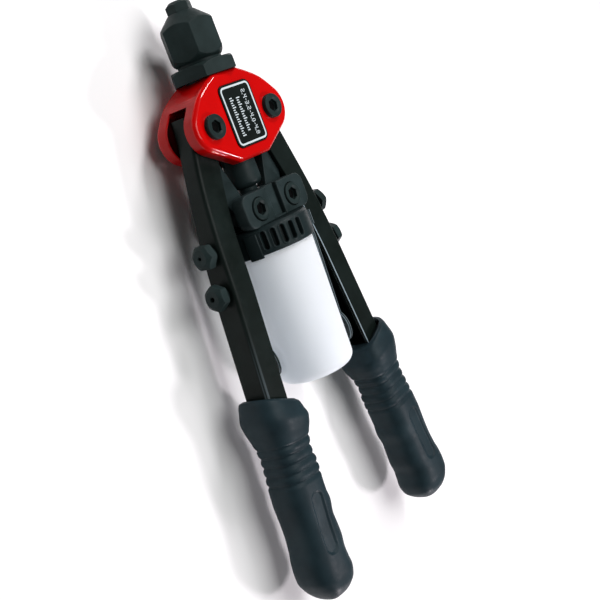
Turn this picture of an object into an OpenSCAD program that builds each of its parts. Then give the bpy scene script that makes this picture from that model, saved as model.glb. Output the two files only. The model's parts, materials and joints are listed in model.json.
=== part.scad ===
// Short arm riveter: two-handed lever tool that sets blind rivets.
// Tool frame: X right, Y towards the nose, Z out of the labelled face; millimetres.
// The origin is the mouth of the fitted nosepiece, on the bore axis.

/* [Frame] */
// half of the distance between the two arm pivots
pivot_x = 22.93; // [20:0.01:26]
// outward lean of each arm in the rest pose, degrees
arm_lean = 6.3; // [2.3:0.1:34]

/* [Head] */
// half thickness of the head over both cheeks
head_half = 14.2; // [12:0.1:16]
// half height of the slot between the cheeks
slot_half = 6.2; // [5:0.1:7]
// height of the slot roof over the pivots
slot_roof = 13.6; // [12:0.1:16]
// height of the flat top of the head over the pivots
head_top = 24.4; // [20:0.1:28]
// height of the flat bottom edge of the cheeks
head_bottom = -20.7; // [-24:0.1:-16]
// radius of the head outline round each pivot
lobe_r = 12.7; // [11:0.1:14]
// radius of the rounded edge round each cheek
head_bevel = 1.9; // [0.5:0.1:3]
// radius of the bore that guides the pull rod
guide_r = 8.7; // [8.5:0.05:9.5]
// radius of the thread that takes the nose housing
nose_thread_r = 11; // [10:0.1:12]

/* [Label plate] */
// width of the label plate across the tool
label_w = 24; // [20:0.5:26]
// length of the label plate along the tool
label_h = 32; // [28:0.5:34]
// corner radius of the label plate
label_r = 3.6; // [2:0.1:5]
// centre of the label plate along the tool, from the pivots
label_y = 1.4; // [0:0.1:3]
// centre of the label plate across the tool
label_x = 1.0; // [0:0.1:2]
// depth of the recess that takes the label plate
label_recess = 0.6; // [0.3:0.1:1]
// thickness of the label plate
label_t = 0.7; // [0.5:0.1:1.2]

/* [Screws] */
// head radius of the pivot screws
pivot_head_r = 6.25; // [5.5:0.05:7]
// how far the pivot screw heads stand out of the cheek
pivot_head_h = 2.6; // [2:0.1:4]
// shank radius of the pivot and crosshead screws
shank_r = 4; // [3:0.1:5]
// width across flats of every hexagon socket
socket_af = 6; // [5:0.5:8]
// outside radius of the sleeve that each arm turns on
sleeve_r = 5.5; // [5:0.1:6]
// corner radius of the nuts on the pivot screws
pivot_nut_r = 7.5; // [7:0.1:8]
// height of those nuts
pivot_nut_h = 5; // [4:0.1:6]
// radial play between an arm and its sleeve
pivot_play = 0.06; // [0.02:0.01:0.1]

/* [Nose] */
// width across flats of the nose housing
housing_af = 26.1; // [24:0.1:28]
// width across flats of the lock nut
locknut_af = 32; // [30:0.1:36]
// height of the lock nut
locknut_h = 7.2; // [6:0.1:9]
// height of the plain ring between the lock nut and the housing
relief_h = 1.8; // [1:0.1:3]
// height of the housing over that ring
housing_h = 25.2; // [22:0.1:28]
// height of the domed top of the housing
housing_dome = 8; // [6:0.1:10]
// height of the bevel at the foot of the housing
housing_foot = 3.8; // [2:0.1:5]
// width across flats of each nosepiece
nosepiece_af = 11.8; // [11:0.1:13]
// height of the hexagon of each nosepiece
nosepiece_h = 5.8; // [5:0.1:7]
// length of the nosepiece thread under its seat
nosepiece_stem = 4.3; // [3:0.1:6]
// radius of the bore of the fitted nosepiece
mandrel_r = 1.5; // [1:0.05:2]
// thread radius of each nosepiece
nosepiece_thread_r = 4.4; // [4:0.1:5]

/* [Pull rod and jaws] */
// outside radius of the pull rod and the jaw case
rod_r = 8.45; // [8:0.05:8.6]
// radius of the spent mandrel passage through the rod
passage_r = 2.6; // [2:0.1:3]
// radius of the rod neck held by the crosshead
neck_r = 4.6; // [4:0.1:5]
// half angle of the jaw cone, degrees
jaw_angle = 9.5; // [8:0.5:12]
// height of the joint between pull rod and jaw case over the pivots
rod_top = 2; // [0:0.1:4]
// length of the thread that joins them
rod_thread_h = 12; // [8:0.5:14]
// radius of that thread
rod_thread_r = 6.4; // [6:0.1:6.6]
// height of the top of the jaw case over the pivots
case_top = 47.4; // [46:0.1:48]
// length of the cone inside the jaw case
cone_len = 18.3; // [16:0.1:20]
// radius of the bore behind that cone
case_bore_r = 7; // [6.7:0.1:7.2]
// mean radius of the jaw spring
spring_r = 5.55; // [5.2:0.05:5.8]
// radius of the jaw spring wire
spring_wire = 0.56; // [0.4:0.02:0.7]
// number of turns of the jaw spring
spring_turns = 5; // [4:1:6]
// length of the jaw spring at rest
spring_len = 10; // [9:0.5:11]
// radius of the rod flange that the crosshead holds
flange_r = 5.65; // [5.2:0.05:6]
// height of that flange
flange_h = 3; // [2:0.1:4]
// how far the flange sits below the crosshead screws
flange_drop = 2.6; // [2:0.1:4]
// gap from the crosshead top up to the shoulder of the rod
shoulder_gap = 1.9; // [1:0.1:3]

/* [Arms] */
// sheet thickness of the arms
arm_t = 2.5; // [2:0.1:3]
// half width of an arm inside the head
arm_half_top = 5.9; // [5:0.1:6.1]
// half width of an arm where its upper spare nosepiece sits
arm_half_mid = 7.1; // [6:0.1:8]
// half width of an arm below the bottle collar
arm_half_low = 8; // [7:0.1:9]
// distance of the arm web outboard of the pivot line, low down
web_low = 11.8; // [11:0.1:13]
// distance of the arm web outboard of the pivot, at the head
web_top = 8.3; // [8:0.1:9]
// distance of the free flange edge from the pivot line, low down
flange_low = -0.6; // [-2:0.1:1]
// outside radius of the bends along each arm
arm_bend = 2.4; // [1:0.1:3]
// length of an arm measured down from its pivot
arm_len = 206; // [190:1:220]

/* [Toggle links] */
// half of the distance between the two crosshead screws
cross_x = 13.4; // [12:0.1:15]
// height of the crosshead screws relative to the pivots
cross_y = -45.4; // [-48:0.1:-42]
// distance between the two eyes of a link
link_len = 30; // [28:0.1:32]
// lean of each link in the rest pose, degrees
link_lean = 20; // [16:0.1:38]
// half width of a link
link_r = 6; // [5:0.1:7]
// half thickness of a link
link_half = 3.2; // [2.5:0.1:3.3]
// radius of the pin that joins a link to its arm
link_pin_r = 3; // [2.5:0.1:3.5]
// radial play of that pin in the link, which takes up the curved travel
link_play = 0.8; // [0.6:0.05:1]

/* [Crosshead] */
// half width of the crosshead
cross_half_w = 25; // [23:0.1:26]
// height of the crosshead top edge
cross_top = -36.1; // [-38:0.1:-34]
// height of the crosshead bottom edge
cross_bottom = -53.7; // [-56:0.1:-52]
// front face of the crosshead plate
cross_face = 15.2; // [14:0.1:16]
// inner face of the crosshead plate
cross_inner = 7.8; // [7.4:0.1:8.5]
// half width of the groove down the crosshead plate
groove_half = 4.2; // [3:0.1:5]
// depth of that groove
groove_depth = 2.6; // [1:0.1:3]
// width of the bevel round the crosshead plates
cross_bevel = 0.8; // [0.3:0.1:1.5]
// half width of the block that holds the rod
block_half = 6.8; // [6.3:0.1:7]
// depth that the crosshead screw heads are sunk
head_sink = 2.8; // [2:0.1:3.5]
// head radius of the crosshead screws
cross_head_r = 5.85; // [5:0.05:6]
// head height of the crosshead screws
cross_head_h = 3.8; // [3:0.1:4]

/* [Collar and bottle] */
// outside radius of the bottle collar
collar_r = 24.2; // [23:0.1:25]
// bottom edge of the bottle collar
collar_bottom = -67.6; // [-70:0.1:-64]
// width of the slots in the collar
collar_slot = 2.5; // [2:0.1:3]
// angle between neighbouring slots, degrees
collar_step = 12.5; // [11:0.5:14]
// turn of the middle slot from the labelled face, degrees
collar_turn = -27; // [-35:1:35]
// turn of the flat tab beside the slots, degrees
tab_turn = -68; // [-72:1:-62]
// half width of that tab
tab_half = 3.6; // [3:0.1:4]
// how far the tab hangs below the collar
tab_drop = 1.2; // [0.5:0.1:2]
// how far the bottle stands in from the collar
bottle_step = 1.8; // [1.2:0.1:3]
// how much smaller the bottle is near its bottom
bottle_taper = 1.6; // [0:0.1:3]
// radius of the rounded edge of the bottle bottom
bottle_foot = 6; // [3:0.5:8]
// bottom of the bottle
bottle_bottom = -138.6; // [-142:0.1:-130]
// wall thickness of the bottle
bottle_t = 1.3; // [1:0.1:2]
// radius of the bottle neck
bottle_neck_r = 17; // [15:0.1:18]
// clearance between the bottle neck and the collar
neck_play = 0.1; // [0.05:0.05:0.3]
// thickness of the collar roof over the bottle neck
collar_roof = 3; // [2:0.1:4]
// radius of the hole through the collar roof
drop_r = 6; // [5:0.1:7]

/* [Bottle straps] */
// half width of each strap
strap_half = 5; // [4:0.1:6]
// thickness of each strap
strap_t = 1.6; // [1:0.1:2]
// height of the round pad of each strap
pad_y = -124; // [-128:0.5:-110]
// radius of that pad
pad_r = 10; // [8:0.1:12]
// half width of the foot of each strap in the collar
foot_half = 6; // [5.5:0.1:7]
// length of that foot
foot_len = 3.8; // [3:0.1:6]
// depth that it is let into the collar
foot_sink = 0.6; // [0.4:0.1:1]
// clearance round that foot
foot_play = 0.05; // [0.02:0.01:0.1]

/* [Grips] */
// where the grip centre line lies outboard of the pivot line
grip_x = 5.4; // [4:0.1:7]
// length of the arm that sits inside its grip
grip_cover = 72.5; // [60:0.5:76]
// number of grooves across the neck of the grip
grip_grooves = 5; // [3:1:6]
// distance from the grip mouth down to the first of those grooves
grip_groove_at = 26; // [25:0.1:27.5]
// pitch of those grooves
grip_groove_pitch = 4.9; // [4.5:0.1:5.2]
// depth of those grooves
grip_groove_depth = 0.8; // [0.3:0.1:1.2]
// distance from the grip mouth down to the middle of the oval hollow
oval_at = 69.5; // [67:0.5:72]
// length of the oval hollow
oval_len = 33.2; // [25:0.1:36]
// width of the oval hollow
oval_w = 8.2; // [6:0.1:10]
// depth of the oval hollow
oval_depth = 1; // [0.5:0.1:1.5]

/* [Hidden] */
$fn = 56;
socket_r = socket_af / 2 / cos(30);
housing_r = housing_af / 2 / cos(30);
locknut_r = locknut_af / 2 / cos(30);
nosepiece_r = nosepiece_af / 2 / cos(30);
locknut_top = head_top + locknut_h;
housing_low = locknut_top + relief_h;
nosepiece_seat = housing_low + housing_h;
tip_y = nosepiece_seat + nosepiece_h;
grip_mouth = arm_len - grip_cover;
bottle_r = collar_r - bottle_step;
bottle_low_r = bottle_r - bottle_taper;
spring_y = rod_top + rod_thread_h;
flange_y = cross_y - flange_drop;
cone_low = case_top - cone_len;
cone_tip_r = case_bore_r - cone_len * tan(jaw_angle);
screw_seat = cross_face - head_sink;
eye_r = link_pin_r + link_play;
pin_x = cross_x + link_len * sin(link_lean);
pin_y = cross_y + link_len * cos(link_lean);
spare_at = [58.9, 79.6];
spare_neck = 4.1;
spare_turns = [33.6, 55];
clip_turns = [55, 235];

// moves a shape drawn from the pivot line into the tool frame
module tool() {
    translate([0, -tip_y, 0]) children();
}

// cylinder along Y
module ycyl(r, y0, y1) {
    translate([0, y0, 0]) rotate([-90, 0, 0]) cylinder(r = r, h = y1 - y0);
}

// cone along Y
module ycone(r0, r1, y0, y1) {
    translate([0, y0, 0]) rotate([-90, 0, 0]) cylinder(r1 = r0, r2 = r1, h = y1 - y0);
}

// hexagonal bar along Y with one corner turned to the given angle from X towards Z
module yhex(r, y0, y1, turn) {
    translate([0, y0, 0]) rotate([0, -turn, 0]) rotate([-90, 0, 0]) cylinder(r = r, h = y1 - y0, $fn = 6);
}

// box from its two corners
module span(a, b) {
    translate(a) cube([b[0] - a[0], b[1] - a[1], b[2] - a[2]]);
}

// frame of the right arm: X outboard, minus Y down the arm, origin on the pivot
module on_arm(side) {
    mirror([side < 0 ? 1 : 0, 0, 0]) translate([pivot_x, 0, 0]) rotate([0, 0, arm_lean]) children();
}

// rectangle with round corners, centred
module round_rect(w, h, r) {
    hull() {
        translate([-w / 2 + r, -h / 2 + r]) circle(r = r, $fn = 32);
        translate([w / 2 - r, -h / 2 + r]) circle(r = r, $fn = 32);
        translate([-w / 2 + r, h / 2 - r]) circle(r = r, $fn = 32);
        translate([w / 2 - r, h / 2 - r]) circle(r = r, $fn = 32);
    }
}

// outline of one half of the head as points, drawn in by the given amount
function lobe_pt(a, c) = [pivot_x + (lobe_r - c) * cos(a), (lobe_r - c) * sin(a)];
function head_half_pts(c) = concat(
    [[0, head_bottom + c], [11.2 - c * 0.2, head_bottom + c], [12.6 - c * 0.4, head_bottom + 0.45 + c * 0.95]],
    [for (a = [-61.4 : 11.7 : 44]) lobe_pt(a, c)],
    [[27.4 - c * 0.67, 13.9 - c * 0.74], [24.2 - c * 0.6, 16.7 - c * 0.8], [20.2 - c * 0.5, 19.2 - c * 0.87],
     [15 - c * 0.45, 21.9 - c * 0.9], [9.4 - c * 0.2, head_top - c], [0, head_top - c]]);
function mirrored(p) = [for (i = [len(p) - 2 : -1 : 1]) [-p[i][0], p[i][1]]];
function head_pts(c) = concat(head_half_pts(c), mirrored(head_half_pts(c)));

module head() {
    tool() color([0.85, 0.02, 0.03]) difference() {
        hull() {
            for (q = [0 : 30 : 90]) {
                translate([0, 0, -head_half + head_bevel * (1 - sin(q))])
                    linear_extrude(height = 2 * (head_half - head_bevel * (1 - sin(q))))
                        polygon(head_pts(head_bevel * (1 - cos(q))));
            }
        }
        span([-50, head_bottom - 10, -slot_half], [50, slot_roof, slot_half]);
        ycyl(guide_r, head_bottom - 5, slot_roof + 2);
        ycyl(nose_thread_r, slot_roof + 1.4, head_top + 1);
        for (s = [-1, 1]) {
            translate([s * pivot_x, 0, -head_half - 5]) cylinder(r = shank_r, h = 2 * head_half + 10);
        }
        translate([label_x, label_y, head_half - label_recess]) linear_extrude(height = 2)
            round_rect(label_w + 0.3, label_h + 0.3, label_r);
    }
}

module label_plate() {
    tool() color([0.05, 0.05, 0.05]) translate([label_x, label_y, head_half - label_recess])
        linear_extrude(height = label_t) round_rect(label_w, label_h, label_r);
}

// socket head screw standing on z = 0, its shank going down
module socket_screw(head_r, head_h, length, depth) {
    difference() {
        union() {
            cylinder(r = head_r, h = head_h - 0.5);
            translate([0, 0, head_h - 0.5]) cylinder(r1 = head_r, r2 = head_r - 0.5, h = 0.5);
            translate([0, 0, -length]) cylinder(r = shank_r, h = length + 0.1);
        }
        translate([0, 0, head_h - depth]) cylinder(r = socket_r, h = depth + 1, $fn = 6);
    }
}

module pivot_screws() {
    tool() color([0.1, 0.1, 0.11]) for (s = [-1, 1]) {
        translate([s * pivot_x, 0, head_half])
            socket_screw(pivot_head_r, pivot_head_h, 2 * head_half + pivot_nut_h + 1, 2.2);
    }
}

module pivot_nuts() {
    tool() color([0.12, 0.12, 0.13]) for (s = [-1, 1]) {
        translate([s * pivot_x, 0, -head_half - pivot_nut_h]) difference() {
            intersection() {
                cylinder(r = pivot_nut_r, h = pivot_nut_h, $fn = 6);
                cylinder(r1 = 0.88 * pivot_nut_r, r2 = 0.88 * pivot_nut_r + pivot_nut_h, h = pivot_nut_h);
            }
            translate([0, 0, -1]) cylinder(r = shank_r, h = pivot_nut_h + 2);
        }
    }
}

module pivot_sleeves() {
    tool() color([0.45, 0.45, 0.47]) for (s = [-1, 1]) {
        translate([s * pivot_x, 0, -slot_half]) difference() {
            cylinder(r = sleeve_r, h = 2 * slot_half);
            translate([0, 0, -1]) cylinder(r = shank_r, h = 2 * slot_half + 2);
        }
    }
}

// domed top of the housing, as shares of its corner radius and of the dome height
DOME = [[1.022, 0.963], [0.491, 0.038], [0.4645, 0]];
module nose_housing() {
    tool() color([0.1, 0.1, 0.11]) difference() {
        union() {
            intersection() {
                yhex(housing_r, housing_low, nosepiece_seat, 10.6);
                rotate([-90, 0, 0]) rotate_extrude() polygon(concat([[0, housing_low],
                    [housing_r - 0.755 * housing_foot, housing_low],
                    [1.02 * housing_r, housing_low + housing_foot]],
                    [for (p = DOME) [housing_r * p[0], nosepiece_seat - housing_dome * p[1]]],
                    [[0, nosepiece_seat]]));
            }
            ycyl(nose_thread_r + 0.6, locknut_top, housing_low + 0.1);
            ycyl(nose_thread_r, slot_roof + 1.5, locknut_top + 0.1);
        }
        ycyl(guide_r, slot_roof, nosepiece_seat - nosepiece_stem - 0.3);
        ycyl(nosepiece_thread_r, nosepiece_seat - nosepiece_stem - 1.3, nosepiece_seat + 1);
    }
}

module lock_nut() {
    tool() color([0.11, 0.11, 0.12]) difference() {
        intersection() {
            yhex(locknut_r, head_top, locknut_top, 14.3);
            rotate([-90, 0, 0]) rotate_extrude() polygon([[0, head_top], [locknut_r - 0.4, head_top],
                [locknut_r + 0.2, head_top + 0.5], [locknut_r + 0.2, locknut_top - 0.3 * locknut_h],
                [0.84 * locknut_r, locknut_top], [0, locknut_top]]);
        }
        ycyl(nose_thread_r, head_top - 1, locknut_top + 1);
    }
}

// nosepiece standing along Y with its seat at zero and one corner at the given turn
module nosepiece_shape(bore, neck, stem, turn) {
    top = neck + nosepiece_h;
    difference() {
        union() {
            intersection() {
                yhex(nosepiece_r, neck, top, turn);
                rotate([-90, 0, 0]) rotate_extrude() polygon([[0, neck], [0.938 * nosepiece_r, neck],
                    [1.025 * nosepiece_r, neck + 0.5], [1.025 * nosepiece_r, top - 0.362 * nosepiece_h],
                    [0.606 * nosepiece_r, top], [0, top]]);
            }
            ycyl(nosepiece_thread_r, -stem, neck + 0.5);
        }
        ycyl(bore, -stem - 1, top + 1);
    }
}

module nosepiece() {
    tool() color([0.13, 0.13, 0.14]) translate([0, nosepiece_seat, 0])
        nosepiece_shape(mandrel_r, 0, nosepiece_stem, 33.6);
}

// spare nosepieces screwed part way into one arm web
module spare_set(side) {
    tool() on_arm(side) for (i = [0, 1]) {
        translate([web_low, -spare_at[i], 0]) rotate([0, 0, -90])
            nosepiece_shape(0.9 + 0.35 * i, spare_neck, arm_t, spare_turns[i]);
    }
}

module spare_nosepieces_right() {
    color([0.13, 0.13, 0.14]) spare_set(1);
}

module spare_nosepieces_left() {
    color([0.13, 0.13, 0.14]) spare_set(-1);
}

// channel section of an arm at one distance down, closed towards the web
// round bend of the arm section about one corner
function bend(x, z, c, a0) = [for (i = [0 : 4]) [x + c * cos(a0 + 22.5 * i), z + c * sin(a0 + 22.5 * i)]];
function arm_pts(x0, x1, h, c) = concat([[x0, -h]],
    bend(x1 - c, -h + c, c, -90), bend(x1 - c, h - c, c, 0), [[x0, h]]);
module arm_section(d, x0, x1, h, c) {
    translate([0, -d, 0]) rotate([90, 0, 0]) linear_extrude(height = 0.02) polygon(arm_pts(x0, x1, h, c));
}

// bar of the same section
module arm_bar(d0, d1, x0, x1, h, c) {
    translate([0, -d0, 0]) rotate([90, 0, 0]) linear_extrude(height = d1 - d0) polygon(arm_pts(x0, x1, h, c));
}

module arm_shape(side) {
    tool() on_arm(side) difference() {
        union() {
            hull() {
                translate([0, 0, -arm_half_top]) cylinder(r = web_top, h = 2 * arm_half_top);
                arm_section(18, -5, web_top + 0.6, arm_half_top, arm_bend);
            }
            hull() {
                arm_section(18, -5, web_top + 0.6, arm_half_top, arm_bend);
                arm_section(57, flange_low, web_low, arm_half_mid, arm_bend);
            }
            hull() {
                arm_section(57, flange_low, web_low, arm_half_mid, arm_bend);
                arm_section(85, flange_low, web_low, arm_half_low, arm_bend);
            }
            arm_bar(85, arm_len, flange_low, web_low, arm_half_low, arm_bend);
        }
        span([-20, -18, -arm_half_top + arm_t], [web_top - arm_t, 20, arm_half_top - arm_t]);
        hull() {
            arm_section(17.9, -20, web_top + 0.6 - arm_t, arm_half_top - arm_t, arm_bend / 2);
            arm_section(57, -20, web_low - arm_t, arm_half_mid - arm_t, arm_bend / 2);
        }
        hull() {
            arm_section(57, -20, web_low - arm_t, arm_half_mid - arm_t, arm_bend / 2);
            arm_section(85, -20, web_low - arm_t, arm_half_low - arm_t, arm_bend / 2);
        }
        arm_bar(84.9, arm_len + 1, -20, web_low - arm_t, arm_half_low - arm_t, arm_bend / 2);
        translate([0, 0, -2 * arm_half_top]) cylinder(r = sleeve_r + pivot_play, h = 4 * arm_half_top);
        rotate([0, 0, -arm_lean]) translate([pin_x - pivot_x, pin_y, -2 * arm_half_top])
            cylinder(r = link_pin_r, h = 4 * arm_half_top);
        for (i = [0, 1]) {
            translate([web_low - 2 * arm_t, -spare_at[i], 0]) rotate([0, 90, 0])
                cylinder(r = nosepiece_thread_r, h = 4 * arm_t);
        }
    }
}

module arm_right() {
    color([0.09, 0.09, 0.1]) arm_shape(1);
}

module arm_left() {
    color([0.09, 0.09, 0.1]) arm_shape(-1);
}

module link_pin(side) {
    tool() translate([side * pin_x, pin_y, -arm_half_top]) cylinder(r = link_pin_r, h = 2 * arm_half_top);
}

module link_pin_right() {
    color([0.5, 0.5, 0.52]) link_pin(1);
}

module link_pin_left() {
    color([0.5, 0.5, 0.52]) link_pin(-1);
}

module link_shape(side) {
    tool() mirror([side < 0 ? 1 : 0, 0, 0]) translate([cross_x, cross_y, -link_half]) rotate([0, 0, -link_lean])
    difference() {
        hull() {
            cylinder(r = link_r, h = 2 * link_half);
            translate([0, link_len, 0]) cylinder(r = link_r, h = 2 * link_half);
        }
        translate([0, 0, -1]) cylinder(r = shank_r + pivot_play, h = 10);
        translate([0, link_len, -1]) cylinder(r = eye_r, h = 10);
    }
}

module link_right() {
    color([0.16, 0.17, 0.18]) link_shape(1);
}

module link_left() {
    color([0.16, 0.17, 0.18]) link_shape(-1);
}

// one half of the crosshead, drawn on the front side
module crosshead_half() {
    difference() {
        union() {
            translate([0, (cross_top + cross_bottom) / 2, cross_inner]) hull() {
                linear_extrude(height = cross_face - cross_inner - cross_bevel)
                    round_rect(2 * cross_half_w, cross_top - cross_bottom, 5);
                linear_extrude(height = cross_face - cross_inner)
                    round_rect(2 * (cross_half_w - cross_bevel),
                        cross_top - cross_bottom - 2 * cross_bevel, 5 - cross_bevel);
            }
            span([-block_half, cross_bottom, 0], [block_half, cross_top, cross_inner + 0.1]);
            for (s = [-1, 1]) {
                translate([s * cross_x, cross_y, link_half + 0.2])
                    cylinder(r = link_r + 0.2, h = cross_inner - link_half);
            }
        }
        ycyl(neck_r, cross_bottom - 1, cross_top + 1);
        ycyl(flange_r + 0.05, flange_y - flange_h / 2 - 0.1, flange_y + flange_h / 2 + 0.1);
        span([-groove_half, cross_bottom + 1.2, cross_face - groove_depth],
            [groove_half, cross_top + 1, cross_face + 1]);
        for (s = [-1, 1]) {
            translate([s * cross_x, cross_y, -1]) cylinder(r = shank_r, h = cross_face + 5);
        }
    }
}

module crosshead_front() {
    tool() color([0.14, 0.15, 0.16]) difference() {
        crosshead_half();
        for (s = [-1, 1]) {
            translate([s * cross_x, cross_y, screw_seat]) cylinder(r = cross_head_r + 0.35, h = head_sink + 1);
        }
    }
}

module crosshead_rear() {
    tool() color([0.14, 0.15, 0.16]) mirror([0, 0, 1]) crosshead_half();
}

module crosshead_screws() {
    tool() color([0.12, 0.12, 0.13]) for (s = [-1, 1]) {
        translate([s * cross_x, cross_y, screw_seat])
            socket_screw(cross_head_r, cross_head_h, screw_seat + cross_face - 0.6, 2.6);
    }
}

module pull_rod() {
    shoulder = cross_top + shoulder_gap;
    tool() color([0.3, 0.3, 0.32]) difference() {
        union() {
            rotate([-90, 0, 0]) rotate_extrude() polygon(concat(
                [[0, cross_bottom + 0.7], [neck_r, cross_bottom + 0.7],
                [neck_r, flange_y - flange_h / 2], [flange_r, flange_y - flange_h / 2],
                [flange_r, flange_y + flange_h / 2], [neck_r, flange_y + flange_h / 2], [neck_r, shoulder]],
                [for (q = [0 : 22.5 : 90]) [rod_r - 3 + 3 * sin(q), shoulder + 3.4 * (1 - cos(q))]],
                [[rod_r, rod_top], [0, rod_top]]));
            ycyl(rod_thread_r, rod_top - 1, rod_top + rod_thread_h);
        }
        ycyl(passage_r, cross_bottom - 5, rod_top + rod_thread_h + 5);
    }
}

module jaw_case() {
    tool() color([0.32, 0.32, 0.34]) difference() {
        ycyl(rod_r - 0.05, rod_top, case_top);
        ycyl(rod_thread_r, rod_top - 1, rod_top + rod_thread_h);
        ycyl(case_bore_r, rod_top + rod_thread_h - 0.1, cone_low + 0.1);
        ycone(case_bore_r, cone_tip_r, cone_low, case_top);
        ycyl(cone_tip_r, case_top - 0.1, case_top + 2);
    }
}

module jaws() {
    tool() color([0.4, 0.4, 0.42]) difference() {
        ycone(case_bore_r - 0.05 - 1.2 * tan(jaw_angle), cone_tip_r - 0.05, cone_low + 1.2, case_top);
        ycyl(mandrel_r + 0.1, cone_low, case_top + 2);
        ycone(5, 1.5, cone_low + 1.1, cone_low + 5.9);
        for (a = [0, 120, 240]) {
            rotate([0, a, 0]) span([0, cone_low, -0.3], [case_bore_r + 2, case_top + 2, 0.3]);
        }
    }
}

module jaw_pusher() {
    low = spring_y + spring_len;
    tool() color([0.42, 0.42, 0.44]) difference() {
        union() {
            ycyl(case_bore_r - 0.4, low, cone_low + 0.3);
            ycone(5.6, 3.2, cone_low + 0.2, cone_low + 3.5);
            ycyl(spring_r - spring_wire - 0.8, low - 5, low + 0.1);
        }
        ycyl(passage_r, low - 6, case_top);
    }
}

// coil spring: a round wire swept along a helix whose end turns lie closer together
spring_steps = 20;
wire_n = 8;
function coil_y(t) = lookup(t, [[0, 0], [1, 2.3 * spring_wire],
    [spring_turns - 1, spring_len - 4.3 * spring_wire], [spring_turns, spring_len - 2 * spring_wire]]);
function coil_pt(t, a) = let (r = spring_r + spring_wire * cos(a))
    [r * cos(360 * t), spring_y + spring_wire + coil_y(t) + spring_wire * sin(a), r * sin(360 * t)];
coil_n = spring_steps * spring_turns;
coil_pts = [for (i = [0 : coil_n]) for (j = [0 : wire_n - 1]) coil_pt(i / spring_steps, j * 360 / wire_n)];
coil_faces = concat(
    [[for (j = [wire_n - 1 : -1 : 0]) j]],
    [for (i = [0 : coil_n - 1]) for (j = [0 : wire_n - 1])
        [i * wire_n + j, i * wire_n + (j + 1) % wire_n, (i + 1) * wire_n + (j + 1) % wire_n]],
    [for (i = [0 : coil_n - 1]) for (j = [0 : wire_n - 1])
        [i * wire_n + j, (i + 1) * wire_n + (j + 1) % wire_n, (i + 1) * wire_n + j]],
    [[for (j = [0 : wire_n - 1]) coil_n * wire_n + j]]);
module jaw_spring() {
    tool() color([0.55, 0.55, 0.57]) polyhedron(points = coil_pts, faces = coil_faces);
}

module collar() {
    tool() color([0.1, 0.1, 0.11]) difference() {
        union() {
            rotate([-90, 0, 0]) rotate_extrude() polygon([[0, collar_bottom], [collar_r - 0.4, collar_bottom],
                [collar_r, collar_bottom + 0.5], [collar_r, cross_bottom - 1.4],
                [collar_r - 0.5, cross_bottom - 0.5], [collar_r - 1.3, cross_bottom], [0, cross_bottom]]);
            for (t = [0, 180]) {
                rotate([0, tab_turn + t, 0]) span([-tab_half, collar_bottom - tab_drop, bottle_r + 0.7],
                    [tab_half, cross_bottom - 2, collar_r + 0.5]);
            }
        }
        ycyl(bottle_neck_r + neck_play, collar_bottom - 1, cross_bottom - collar_roof);
        ycyl(drop_r, collar_bottom - 1, cross_bottom + 1);
        for (t = [0, 180], i = [-2 : 2]) {
            rotate([0, collar_turn + t + i * collar_step, 0]) translate([0, 0, bottle_neck_r + 2.2]) hull() {
                translate([0, collar_bottom + 2.4 + collar_slot / 2, 0])
                    cylinder(r = collar_slot / 2, h = 12, $fn = 16);
                translate([0, cross_bottom - 2.2 - collar_slot / 2, 0])
                    cylinder(r = collar_slot / 2, h = 12, $fn = 16);
            }
        }
        for (a = clip_turns) {
            rotate([0, a, 0]) span([-foot_half - foot_play, cross_bottom - collar_roof - foot_len - foot_play,
                collar_r - foot_sink], [foot_half + foot_play, cross_bottom + 1, collar_r + 6]);
        }
    }
}

// flat spring strap with a round pad, drawn at the front of the bottle
module bottle_clip_shape() {
    top = cross_bottom - collar_roof;
    union() {
        span([-strap_half, pad_y + 5, collar_r], [strap_half, top, collar_r + strap_t]);
        translate([0, pad_y, collar_r]) cylinder(r = pad_r, h = strap_t);
        span([-foot_half, top - foot_len, collar_r - foot_sink], [foot_half, top, collar_r + strap_t]);
    }
}

module bottle_clips() {
    tool() color([0.07, 0.07, 0.08]) for (a = clip_turns) {
        rotate([0, a, 0]) bottle_clip_shape();
    }
}

// quarter circle of the bottle bottom, drawn in by the given wall
function foot_pts(c) = [for (a = [0 : 15 : 90]) [bottle_low_r - bottle_foot + (bottle_foot - c) * cos(a),
    bottle_bottom + bottle_foot - (bottle_foot - c) * sin(a)]];
module bottle() {
    neck_top = cross_bottom - collar_roof - 0.6;
    inside = foot_pts(bottle_t);
    tool() color([0.93, 0.94, 0.95]) rotate([-90, 0, 0]) rotate_extrude() polygon(concat(
        [[bottle_neck_r - bottle_t, neck_top], [bottle_neck_r, neck_top], [bottle_neck_r, collar_bottom],
            [bottle_r - 0.6, collar_bottom], [bottle_r, collar_bottom - 0.7]],
        foot_pts(0),
        [[0, bottle_bottom], [0, bottle_bottom + bottle_t]],
        [for (i = [len(inside) - 1 : -1 : 0]) inside[i]],
        [[bottle_r - bottle_t, collar_bottom - bottle_t],
            [bottle_neck_r - bottle_t, collar_bottom - bottle_t]]));
}

// grip stations: distance down from the mouth, outer, inner and front half sizes
GRIP = [[0, 11.6, 12.2, 11.6], [1.1, 13.6, 13.6, 13.2], [6, 15.2, 15.2, 14.4], [11.5, 16.2, 16.2, 15.4],
    [17.5, 15.2, 15.6, 14.6], [24.5, 12.9, 13.8, 12.9], [32.5, 11.8, 12.7, 12], [39.5, 11.9, 13.9, 12.3],
    [44.5, 12.2, 14, 12.4], [49.5, 12.4, 13.5, 12.4], [55.5, 12.5, 13.7, 12.4], [61.5, 12, 15, 12.5],
    [68.5, 11.3, 14, 12.1], [74.5, 10.9, 14.8, 12.1], [80.5, 11.3, 15.3, 12.4], [87.5, 12.6, 14.3, 12.6],
    [92.5, 12.9, 14.9, 12.8], [97.5, 12.4, 15.9, 12.8], [102.5, 10.2, 15.2, 12], [107, 7, 12.2, 9.6],
    [110.1, 3.4, 7.8, 5.6], [111.1, 1.2, 3, 2]];
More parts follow.
